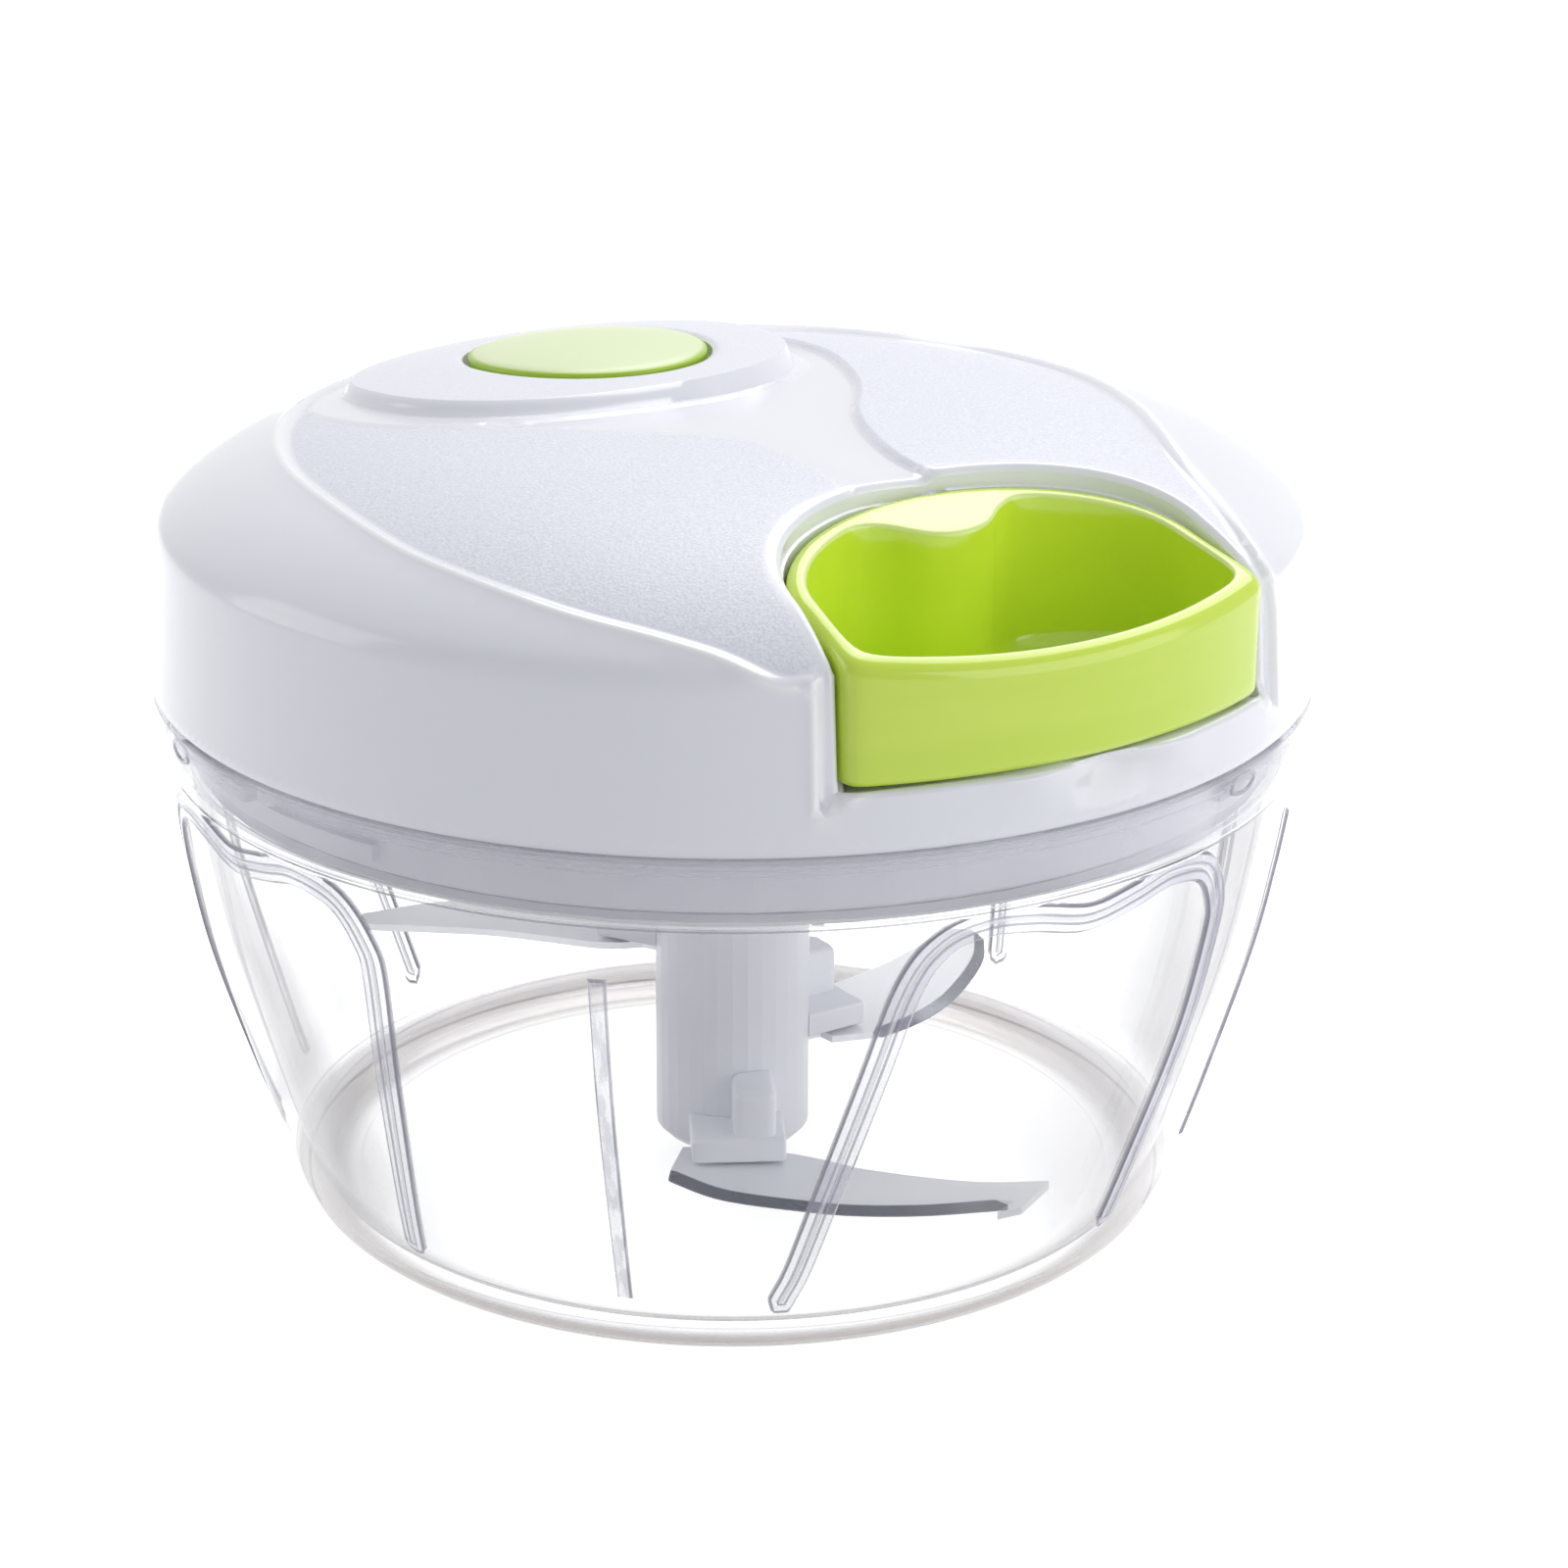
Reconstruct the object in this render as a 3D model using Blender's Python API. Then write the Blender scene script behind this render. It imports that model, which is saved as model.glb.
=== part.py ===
"""Pull cord food chopper: clear bowl, white lid with cord reel, lime pull handle and three blades.

Metres, +Z up, origin at the centre of the bowl's foot, handle towards -Y.
Azimuths are degrees from -Y towards +X.
"""

import math

import bmesh
import bpy
from mathutils import Matrix, Vector

MM = 0.001

# Fits
GAP = 0.3 * MM
RUN = 0.3 * MM

# Bowl
FOOT_R = 45.65 * MM
FOOT_WIDTH = 3.6 * MM
FOOT_RECESS = 0.6 * MM
FLOOR_T = 1.5 * MM
BOWL_WALL = 2.0 * MM
BELLY_LOW = (49.97 * MM, 6.0 * MM)
BELLY_MID = (52.79 * MM, 15.0 * MM)
BELLY_HIGH = (57.1 * MM, 30.0 * MM)
LEDGE_SETBACK = 1.42 * MM
RIM_Z = 59.2 * MM
BAND_H = 7.2 * MM
RIM_WALL = 1.7 * MM
LUG_AZ = (26.0, -94.0, 146.0)
LUG_SPAN = 16.0
LUG_H = 1.6 * MM
LUG_REACH = 0.9 * MM
RIM_FLARE = 0.9 * MM
PANELS = 4
RIB_AT = -45.0
RIB_W = 2.0 * MM
ARCH_W = 1.8 * MM
BEAD_PROUD = 0.45 * MM
BEAD_SUNK = 0.5 * MM

# Faces round the turned pieces
BIG_STEPS = 56
INNER_STEPS = 32
SMALL_STEPS = 24

# Lid cover
SEAM_R = 62.42 * MM
SIDE_DRAFT = 1.32 * MM
SIDE_H = 17.3 * MM
DOME_RISE = 11.2 * MM
DOME_POWER = 4.0
DOME_ROUND = 0.79
LID_WALL = 2.0 * MM
PAD_PROUD = 1.1 * MM
PAD_AT = (-5.5 * MM, 24.0 * MM)
PAD_HALF = (25.5 * MM, 21.0 * MM)
PAD_POWER = 2.3

# Pull handle and its pocket
CUP_HALF_X = 23.0 * MM
CUP_HALF_Y = 14.3 * MM
CUP_PROUD = 0.7 * MM
CUP_FRONT_SPAN = 24.2
CUP_WALL = 2.0 * MM
CUP_FLOOR = 2.0 * MM
CUP_RISE = 6.3 * MM
CUP_FRONT_H = 10.6 * MM
RIM_SLOPE = 0.3
BOSS_HALF = 6.8 * MM
BOSS_DEPTH = 7.7 * MM
BOSS_CROWN = 3.6 * MM
KNOT_ROOM_HALF = 2.6 * MM
KNOT_ROOM_H = 12.0 * MM
POCKET_GAP = 1.0 * MM
POCKET_WALL = 1.5 * MM
POCKET_FLARE = 2.0 * MM
POCKET_TO_HOUSING = 1.1 * MM

# Cord and reel
CORD_R = 0.8 * MM
CORD_LOOPS = 5
CORD_STEP = 2.1 * MM
DRUM_R = 12.0 * MM
FLANGE_CLEAR = 1.1 * MM
FLANGE_T = 1.4 * MM
DRUM_MARGIN = 0.35 * MM
SPIGOT_R = 8.0 * MM
SKIRT_R = 17.7 * MM
SKIRT_T = 1.2 * MM
EYELET_BORE = 1.2 * MM
EYELET_T = 1.0 * MM
EYELET_COLLAR = 0.5 * MM

# Lid base
BASE_T = 1.8 * MM
SKIRT_CLEAR = 0.1 * MM
BASE_WALL = 1.8 * MM
COLLAR_H = 3.6 * MM
LID_LUG_H = 1.6 * MM
LID_TURN = 17.0
SEAL_H = 1.2 * MM
SEAL_W = 2.7 * MM

# Drive hub, pawls and axle
AXLE_R = 2.0 * MM
AXLE_HEAD_R = 3.6 * MM
AXLE_HEAD_H = 0.9 * MM
STUB_R = 4.0 * MM
STUB_BEARING_R = 5.8 * MM
STUB_LEN = 9.0 * MM
DOG_SPAN = 30.0
BUSH_WALL = 1.8 * MM
HUB_FLOOR_T = 1.3 * MM
RATCHET_R = 15.9 * MM
VALLEY_R = 14.0 * MM
TOOTH_H = 1.1 * MM
RATCHET_SINK = 0.8 * MM
TEETH = 16
RATCHET_H = 4.4 * MM
PAWL_AT_R = 9.0 * MM
PAWL_BODY_R = 2.2 * MM
PAWL_TIP_R = 13.45 * MM
PAWL_TIP_SPAN = 28.0
PAWL_CLEAR_SPAN = 4.5
PAWL_PIN_R = 1.0 * MM

# Reel housing and rewind spring
HOUSING_R = 29.1 * MM
HOUSING_WALL = 1.5 * MM
COVER_T = 1.3 * MM
COVER_BOSS_WALL = 2.4 * MM
EAR_REACH = 3.9 * MM
EAR_HALF = 3.0 * MM
EAR_T = 2.0 * MM
SPRING_STRIP = 0.35 * MM
SPRING_TURNS = 5
SPRING_H = 5.0 * MM

# Button
BUTTON_AT = (-3.2 * MM, 23.8 * MM)
BUTTON_R = 13.2 * MM
BUTTON_PROUD = 0.9 * MM
BUTTON_CROWN = 1.1 * MM
BUTTON_T = 1.4 * MM
BUTTON_SKIRT = 1.9 * MM
BUTTON_SKIRT_WALL = 1.2 * MM
PRESS = 2.0 * MM
WELL_T = 1.4 * MM
WELL_WALL = 1.5 * MM
STEM_R = 2.4 * MM
BRAKE_R = 3.2 * MM
BRAKE_T = 1.6 * MM
BRAKE_ROOM = 0.2 * MM
CLIP_R = 3.2 * MM
CLIP_T = 0.6 * MM
CLIP_GROOVE = 0.6 * MM
CLIP_OPEN_SPAN = 70.0
COIL_WIRE_R = 0.25 * MM
COIL_WIDE_R = 5.6 * MM
COIL_NARROW_R = 3.6 * MM

# Screws
SCREW_R = 1.2 * MM
HEAD_R = 2.4 * MM
HEAD_H = 1.4 * MM
SCREW_POINT = 1.0 * MM
POST_TO_SKIRT = 7.2 * MM
LID_SCREW_AZ = (60.0, 180.0, -60.0)
HOUSING_SCREW_AZ = (75.0, 180.0, -75.0)
POST_R = 2.9 * MM
SCREW_DEPTH = 9.0 * MM

# Blade unit
SHAFT_R = 8.6 * MM
SHAFT_Z = 3.4 * MM
SHAFT_CHAMFER = 1.0 * MM
PIN_R = 1.5 * MM
PIN_TOP = 14.0 * MM
PIN_BOSS_R = 4.0 * MM
BUSH_LEN = 6.0 * MM
FOOT_BUSH_WALL = 1.3 * MM
BLADE_T = 0.8 * MM
BLADE_LEVELS = (4.2 * MM, 13.0 * MM, 24.4 * MM)
BLADE_AZ = -31.0
BLADE_TONGUE = 3.5 * MM
BLADE_ROOT = 5.6 * MM
LOW_BLADE_EDGE = ((9.4 * MM, -6.0 * MM), (16.3 * MM, -7.9 * MM), (20.2 * MM, -3.9 * MM),
                  (22.3 * MM, -0.2 * MM), (24.4 * MM, 6.0 * MM), (25.8 * MM, 11.6 * MM),
                  (26.2 * MM, 19.1 * MM), (25.4 * MM, 27.2 * MM))
LOW_BLADE_TIP = ((27.4 * MM, 26.9 * MM), (26.2 * MM, 29.7 * MM), (20.0 * MM, 33.6 * MM))
LOW_BLADE_BACK = ((19.7 * MM, 25.0 * MM), (16.3 * MM, 14.3 * MM), (13.2 * MM, 8.9 * MM),
                  (11.4 * MM, 5.2 * MM))
HIGH_BLADE_EDGE = ((9.8 * MM, -5.6 * MM), (15.5 * MM, -7.5 * MM), (21.0 * MM, -6.6 * MM),
                   (27.0 * MM, -4.2 * MM), (33.0 * MM, -0.3 * MM), (38.5 * MM, 4.4 * MM),
                   (42.2 * MM, 9.2 * MM))
HIGH_BLADE_TIP = ((41.6 * MM, 11.6 * MM), (39.8 * MM, 13.2 * MM))
HIGH_BLADE_BACK = ((33.0 * MM, 10.6 * MM), (26.5 * MM, 8.3 * MM), (20.2 * MM, 7.1 * MM),
                   (14.4 * MM, 6.2 * MM), (11.4 * MM, 5.0 * MM))
CLIP_HALF = 5.2 * MM
CLIP_REACH = 6.0 * MM
CLIP_SLAB_H = 2.8 * MM
CLIP_BOSS_HALF = 2.35 * MM
CLIP_BOSS_H = 8.2 * MM
CLIP_BOSS_REACH = 4.2 * MM
CLIP_BOSS_ASIDE = 1.8 * MM

# Sizes that follow from the ones above
FLANGE_R = HOUSING_R - HOUSING_WALL - FLANGE_CLEAR
EAR_R = HOUSING_R + EAR_REACH
LEDGE_R = SEAM_R - LEDGE_SETBACK
SIDE_R = SEAM_R - SIDE_DRAFT
CUP_FRONT_R = SIDE_R + CUP_PROUD
POCKET_OUT_Y = -HOUSING_R - POCKET_TO_HOUSING
POCKET_Y = POCKET_OUT_Y - POCKET_WALL
HANDLE_BACK_Y = POCKET_Y - POCKET_GAP
CUP_AT_Y = HANDLE_BACK_Y - CUP_HALF_Y
BOSS_Y = HANDLE_BACK_Y - BOSS_DEPTH
SKIRT_OUT_R = LEDGE_R - BOWL_WALL - SKIRT_CLEAR
LID_SCREW_R = SKIRT_OUT_R - BASE_WALL - POST_R - POST_TO_SKIRT
FLOOR_Z = FOOT_RECESS + FLOOR_T
LEDGE_Z = RIM_Z - BAND_H
SEAM_Z = RIM_Z + GAP
BAND_R = SEAM_R - 0.06 * MM
SIDE_TOP_Z = SEAM_Z + SIDE_H
CUP_Z = SEAM_Z + CUP_RISE
RIM_FRONT_Z = CUP_Z + CUP_FRONT_H
BASE_Z = LEDGE_Z + 2 * GAP + 0.1 * MM
BASE_TOP = BASE_Z + BASE_T
HUB_Z = BASE_TOP + GAP
HUB_FLOOR_TOP = HUB_Z + HUB_FLOOR_T
RATCHET_TOP = HUB_FLOOR_TOP + RATCHET_H
REEL_Z = RATCHET_TOP + GAP
DRUM_Z = REEL_Z + FLANGE_T
DRUM_TOP = DRUM_Z + 2 * DRUM_MARGIN + CORD_LOOPS * CORD_STEP + 2 * CORD_R
CORD_Z = DRUM_TOP - DRUM_MARGIN - CORD_R
TOP_FLANGE_Z = DRUM_TOP + GAP
TOP_FLANGE_TOP = TOP_FLANGE_Z + FLANGE_T
BRAKE_Z = TOP_FLANGE_TOP + GAP + PRESS
COVER_Z = BRAKE_Z + 0.2 * MM
COVER_TOP = COVER_Z + COVER_T
BUTTON_TOP = SIDE_TOP_Z + DOME_RISE + PAD_PROUD + BUTTON_PROUD
CAP_Z = BUTTON_TOP - BUTTON_CROWN - BUTTON_SKIRT
WELL_Z = CAP_Z - PRESS - GAP
POCKET_Z = CUP_Z - GAP
SHAFT_TOP = BASE_Z - GAP
BORE_R = AXLE_R + RUN


def clear_scene():
    for obj in list(bpy.data.objects):
        bpy.data.objects.remove(obj, do_unlink=True)


def at_azimuth(radius, degrees, z=0.0):
    angle = math.radians(degrees)
    return Vector((radius * math.sin(angle), -radius * math.cos(angle), z))


def plastic(name, colour, roughness=0.35, metallic=0.0, alpha=1.0):
    material = bpy.data.materials.new(name)
    material.use_nodes = True
    shader = material.node_tree.nodes["Principled BSDF"]
    shader.inputs["Base Color"].default_value = (*colour, 1.0)
    shader.inputs["Roughness"].default_value = roughness
    shader.inputs["Metallic"].default_value = metallic
    shader.inputs["Alpha"].default_value = alpha
    material.diffuse_color = (*colour, alpha)
    return material


def new_object(name, bm, material=None, parent=None, smooth=True):
    """A mesh object from a bmesh in world space, its origin moved to its parent empty's place."""
    bmesh.ops.remove_doubles(bm, verts=bm.verts, dist=1e-7)
    bmesh.ops.recalc_face_normals(bm, faces=bm.faces)
    mesh = bpy.data.meshes.new(name)
    bm.to_mesh(mesh)
    bm.free()
    obj = bpy.data.objects.new(name, mesh)
    bpy.context.collection.objects.link(obj)
    if smooth:
        mesh.shade_smooth()
        mesh.set_sharp_from_angle(angle=math.radians(35))
    if material:
        mesh.materials.append(material)
    if parent:
        mesh.transform(Matrix.Translation(-parent.location))
        obj.parent = parent
    return obj


def cutter(name, bm):
    obj = new_object(name, bm, smooth=False)
    obj.hide_render = True
    obj.display_type = "WIRE"
    return obj


def combine(obj, other, operation):
    modifier = obj.modifiers.new(other.name, "BOOLEAN")
    modifier.operation = operation
    modifier.object = other
    modifier.solver = "EXACT"


def joint_empty(name, location=(0.0, 0.0, 0.0)):
    empty = bpy.data.objects.new(name, None)
    empty.location = location
    bpy.context.collection.objects.link(empty)
    return empty


def lathe(section, steps=48, centre=(0.0, 0.0), bm=None):
    """A turned solid about the vertical through centre. A section that ends on the axis gets poles."""
    bm = bm or bmesh.new()
    on_axis = section[0][0] == 0.0 and section[-1][0] == 0.0
    verts = [bm.verts.new((centre[0] + r, centre[1], z)) for r, z in section]
    pairs = list(zip(verts, verts[1:]))
    if not on_axis:
        pairs.append((verts[-1], verts[0]))
    edges = [bm.edges.new(pair) for pair in pairs]
    bmesh.ops.spin(bm, geom=verts + edges, axis=(0, 0, 1), cent=(*centre, 0.0),
                   steps=steps, angle=2 * math.pi, use_merge=True)
    bmesh.ops.remove_doubles(bm, verts=bm.verts, dist=1e-7)
    return bm


def cylinder(radius, z0, z1, steps=24, centre=(0.0, 0.0), bm=None):
    return lathe([(0.0, z0), (radius, z0), (radius, z1), (0.0, z1)], steps, centre, bm)


def prism(outline, z0, z1, bm=None, top=None):
    """An upright prism. top, if given, is a function of x and y that sets the height of its upper face."""
    bm = bm or bmesh.new()
    low = [bm.verts.new((x, y, z0)) for x, y in outline]
    high = [bm.verts.new((x, y, top(x, y) if top else z1)) for x, y in outline]
    bm.faces.new(low[::-1])
    bm.faces.new(high)
    for i in range(len(outline)):
        j = (i + 1) % len(outline)
        bm.faces.new((low[i], low[j], high[j], high[i]))
    return bm


def ring_prism(outer, inner, z0, z1, bm=None):
    """A prism with a hole; outer and inner have one point each for every direction."""
    bm = bm or bmesh.new()
    rows = []
    for outline, z in ((outer, z0), (outer, z1), (inner, z1), (inner, z0)):
        rows.append([bm.verts.new((x, y, z)) for x, y in outline])
    for row, following in zip(rows, rows[1:] + rows[:1]):
        for i in range(len(row)):
            j = (i + 1) % len(row)
            bm.faces.new((row[i], row[j], following[j], following[i]))
    return bm


def sector(radius_in, radius_out, azimuth, span, z0, z1, steps=4, bm=None):
    """A block between two radii and two azimuths."""
    angles = [azimuth - span / 2 + span * i / steps for i in range(steps + 1)]
    outline = [at_azimuth(radius_out, a)[:2] for a in angles]
    outline += [at_azimuth(radius_in, a)[:2] for a in reversed(angles)]
    return prism(outline, z0, z1, bm)


def turned(points, degrees):
    """Plan points given along and across a radius, turned to an azimuth."""
    angle = math.radians(degrees)
    along = (math.sin(angle), -math.cos(angle))
    across = (math.cos(angle), math.sin(angle))
    return [(along[0] * u + across[0] * v, along[1] * u + across[1] * v) for u, v in points]


def tube(name, points, radius, material, parent=None):
    """A round tube along points, with two ring points of its own and flat caps."""
    curve = bpy.data.curves.new(name, "CURVE")
    curve.dimensions = "3D"
    curve.bevel_depth = radius
    curve.bevel_resolution = 1
    curve.use_fill_caps = True
    spline = curve.splines.new("POLY")
    spline.points.add(len(points) - 1)
    shift = parent.location if parent else Vector((0, 0, 0))
    for point, place in zip(spline.points, points):
        point.co = (*(Vector(place) - shift), 1.0)
    curve.materials.append(material)
    obj = bpy.data.objects.new(name, curve)
    bpy.context.collection.objects.link(obj)
    if parent:
        obj.parent = parent
    return obj


def dome_height(radius, proud=0.0):
    share = min(radius / (SIDE_R + proud), 1.0)
    return SIDE_TOP_Z + proud + DOME_RISE * (1 - share ** DOME_POWER) ** DOME_ROUND


def dome_section(proud, shares):
    """Points of the dome from its edge in to the axis, proud of the lid's outer face."""
    edge = SIDE_R + proud
    return [(edge * s, dome_height(edge * s, proud)) for s in shares]


def dome_solid(proud, base_z):
    shares = (1.0, 0.94, 0.8, 0.62, 0.42, 0.21)
    section = [(0.0, base_z), (SEAM_R + proud, base_z)] + dome_section(proud, shares)
    section.append((0.0, dome_height(0.0, proud)))
    return lathe(section, BIG_STEPS)


def cup_outline(grow, steps=20):
    """Plan of the pull handle, grown evenly. The front is an arc of the lid's own round."""
    points = []
    half_x = CUP_HALF_X + grow
    half_y = CUP_HALF_Y + grow
    for i in range(steps + 1):
        angle = math.pi * i / steps
        points.append((half_x * math.cos(angle), CUP_AT_Y + half_y * math.sin(angle)))
    front_r = CUP_FRONT_R + grow
    span = CUP_FRONT_SPAN + math.degrees(grow / CUP_FRONT_R)
    for i in range(13):
        points.append(tuple(at_azimuth(front_r, -span + 2 * span * i / 12)[:2]))
    return points


def cup_cavity_outline():
    """Plan of the cup's inside: the outline drawn in by the wall, with the cord boss left standing."""
    inner = cup_outline(-CUP_WALL, 28)
    arch = inner[:29]
    right = [p for p in arch if p[0] > BOSS_HALF + 1.2 * MM]
    left = [p for p in arch if p[0] < -BOSS_HALF - 1.2 * MM]
    boss = []
    for i in range(9):
        angle = math.pi * i / 8
        side = BOSS_HALF * math.cos(angle)
        boss.append((side, BOSS_Y + BOSS_CROWN * (1 - math.sin(angle))))
    return right + boss + left + inner[29:]


def rim_height(x, y):
    return RIM_FRONT_Z + RIM_SLOPE * (y + CUP_FRONT_R)


def bowl_outside():
    return [(FOOT_R, 0.0), (FOOT_R + 2.4 * MM, 1.1 * MM), (FOOT_R + 3.2 * MM, 2.6 * MM), BELLY_LOW,
            BELLY_MID, BELLY_HIGH, (LEDGE_R, LEDGE_Z), (BAND_R, RIM_Z)]


def bowl_radius(z):
    line = bowl_outside()
    for (r0, z0), (r1, z1) in zip(line, line[1:]):
        if z <= z1:
            return r0 + (r1 - r0) * (z - z0) / (z1 - z0)
    return line[-1][0]


def bead(path, width, bm):
    """A raised line on the bowl's outside along azimuths and heights, sunk a little into its wall."""
    rows = []
    for i, (azimuth, z) in enumerate(path):
        before = path[max(i - 1, 0)]
        after = path[min(i + 1, len(path) - 1)]
        radius = bowl_radius(z)
        run = Vector((math.radians(after[0] - before[0]) * radius, after[1] - before[1])).normalized()
        row = []
        for side, depth in ((-1, -BEAD_SUNK), (1, -BEAD_SUNK), (0.6, BEAD_PROUD), (-0.6, BEAD_PROUD)):
            across = side * width / 2
            turn = math.degrees(-run.y * across / radius)
            height = z + run.x * across
            row.append(bm.verts.new(at_azimuth(bowl_radius(height) + depth, azimuth + turn, height)))
        rows.append(row)
    for row, following in zip(rows, rows[1:]):
        for i in range(4):
            j = (i + 1) % 4
            bm.faces.new((row[i], row[j], following[j], following[i]))
    bm.faces.new(rows[0][::-1])
    bm.faces.new(rows[-1])


def arch_path():
    """One moulded arch: up the leaning leg, over a top that dips in the middle, down the other leg."""
    top = LEDGE_Z - 1.2 * MM
    foot = BELLY_LOW[1] + 1.4 * MM
    height = top - foot
    points = [(-28.5, 0.0), (-25.0, 0.14), (-20.6, 0.63), (-17.8, 0.86), (-14.8, 0.96),
              (-10.5, 1.0), (-5.5, 0.99), (0.5, 0.955), (6.0, 0.975), (11.0, 1.0), (16.5, 0.97),
              (19.5, 0.88), (20.2, 0.78), (19.0, 0.46), (16.0, 0.02)]
    return [(azimuth, foot + share * height) for azimuth, share in points]


def make_bowl(clear):
    inside = [(BAND_R - RIM_WALL, RIM_Z), (LEDGE_R - RIM_WALL + RIM_FLARE, LEDGE_Z),
              (LEDGE_R - BOWL_WALL, LEDGE_Z),
              (BELLY_HIGH[0] - BOWL_WALL, BELLY_HIGH[1]), (BELLY_MID[0] - BOWL_WALL, BELLY_MID[1]),
              (BELLY_LOW[0] - BOWL_WALL, BELLY_LOW[1]),
              (BELLY_LOW[0] - BOWL_WALL - 1.7 * MM, FLOOR_Z + 0.7 * MM),
              (BELLY_LOW[0] - BOWL_WALL - 3.6 * MM, FLOOR_Z), (0.0, FLOOR_Z)]
    foot_inner = FOOT_R - FOOT_WIDTH
    foot = [(0.0, FOOT_RECESS), (foot_inner, FOOT_RECESS), (foot_inner, 0.0)]
    bowl = new_object("bowl", lathe(foot + bowl_outside() + inside, BIG_STEPS), clear)
    lugs = cylinder(PIN_BOSS_R, FLOOR_Z - FLOOR_T / 2, SHAFT_Z - GAP, 20)
    lug_in = BAND_R - RIM_WALL - LUG_REACH
    lug_out = BAND_R - RIM_WALL / 2
    lug_top = RIM_Z - LUG_H
    for azimuth in LUG_AZ:
        sector(lug_in, lug_out, azimuth, LUG_SPAN, lug_top - LUG_H, lug_top, 6, lugs)
    combine(bowl, cutter("bowl_lugs_and_boss", lugs), "UNION")
    pin_hole = cylinder(PIN_R + GAP, FOOT_RECESS + FLOOR_T / 3, SHAFT_Z + MM, 16)
    combine(bowl, cutter("bowl_pin_hole", pin_hole), "DIFFERENCE")
    beads = bmesh.new()
    for i in range(PANELS):
        turn = 360 * i / PANELS
        bead([(azimuth + turn, z) for azimuth, z in arch_path()], ARCH_W, beads)
        low, high = arch_path()[0][1], LEDGE_Z - 6 * MM
        heights = (low, BELLY_MID[1], BELLY_HIGH[1], high)
        bead([(RIB_AT + turn, z) for z in heights], RIB_W, beads)
    combine(bowl, cutter("bowl_beads", beads), "UNION")


def make_bowl_pin(steel):
    z0 = FOOT_RECESS + FLOOR_T / 3 + GAP
    section = [(0.0, z0), (PIN_R, z0), (PIN_R, PIN_TOP - PIN_R / 2), (PIN_R / 2, PIN_TOP), (0.0, PIN_TOP)]
    new_object("bowl_pivot_pin", lathe(section, 20), steel)


def make_seal(silicone, empty):
    outer = LEDGE_R - BOWL_WALL - GAP - 0.1 * MM
    z1 = BASE_Z - GAP
    section = [(outer - SEAL_W, z1 - SEAL_H), (outer - 0.4 * MM, z1 - SEAL_H), (outer, z1 - SEAL_H / 2),
               (outer - 0.4 * MM, z1), (outer - SEAL_W, z1)]
    new_object("seal_ring", lathe(section, 48), silicone, empty)


def make_lid_base(white, empty):
    inner = SKIRT_OUT_R - BASE_WALL
    collar_r = SEAM_R - LID_WALL - 2 * GAP - 0.2 * MM
    collar_z = SEAM_Z + GAP
    section = [(STUB_BEARING_R + RUN + BUSH_WALL + GAP, BASE_Z), (SKIRT_OUT_R - 0.4 * MM, BASE_Z),
               (SKIRT_OUT_R, BASE_Z + 0.4 * MM), (SKIRT_OUT_R, collar_z - 0.6 * MM), (collar_r, collar_z),
               (collar_r, collar_z + COLLAR_H), (inner, collar_z + COLLAR_H), (inner, BASE_TOP),
               (STUB_BEARING_R + RUN + BUSH_WALL + GAP, BASE_TOP)]
    base = new_object("lid_base", lathe(section, BIG_STEPS), white, empty)
    extras = bmesh.new()
    lug_out = SEAM_R - RIM_WALL - 2 * GAP - 0.4 * MM
    lug_top = RIM_Z - 2 * LUG_H - GAP
    for azimuth in LUG_AZ:
        start = azimuth + LID_TURN
        sector(inner + 0.5 * MM, lug_out, start, LUG_SPAN - 1.0, lug_top - LID_LUG_H, lug_top, 6, extras)
    boss_top = ear_height() - GAP
    for azimuth in HOUSING_SCREW_AZ:
        place = at_azimuth(EAR_R, azimuth)
        cylinder(EAR_HALF, BASE_Z + BASE_T / 2, boss_top, 20, place[:2], extras)
    combine(base, cutter("lid_base_extras", extras), "UNION")
    holes = bmesh.new()
    for azimuth in LID_SCREW_AZ:
        place = at_azimuth(LID_SCREW_R, azimuth)
        cylinder(SCREW_R + GAP, BASE_Z - MM, BASE_TOP + MM, 16, place[:2], holes)
    for azimuth in HOUSING_SCREW_AZ:
        place = at_azimuth(EAR_R, azimuth)
        cylinder(SCREW_R + GAP, BASE_TOP, boss_top + MM, 16, place[:2], holes)
    combine(base, cutter("lid_base_holes", holes), "DIFFERENCE")


def ear_height():
    return REEL_Z - 0.5 * MM


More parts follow.
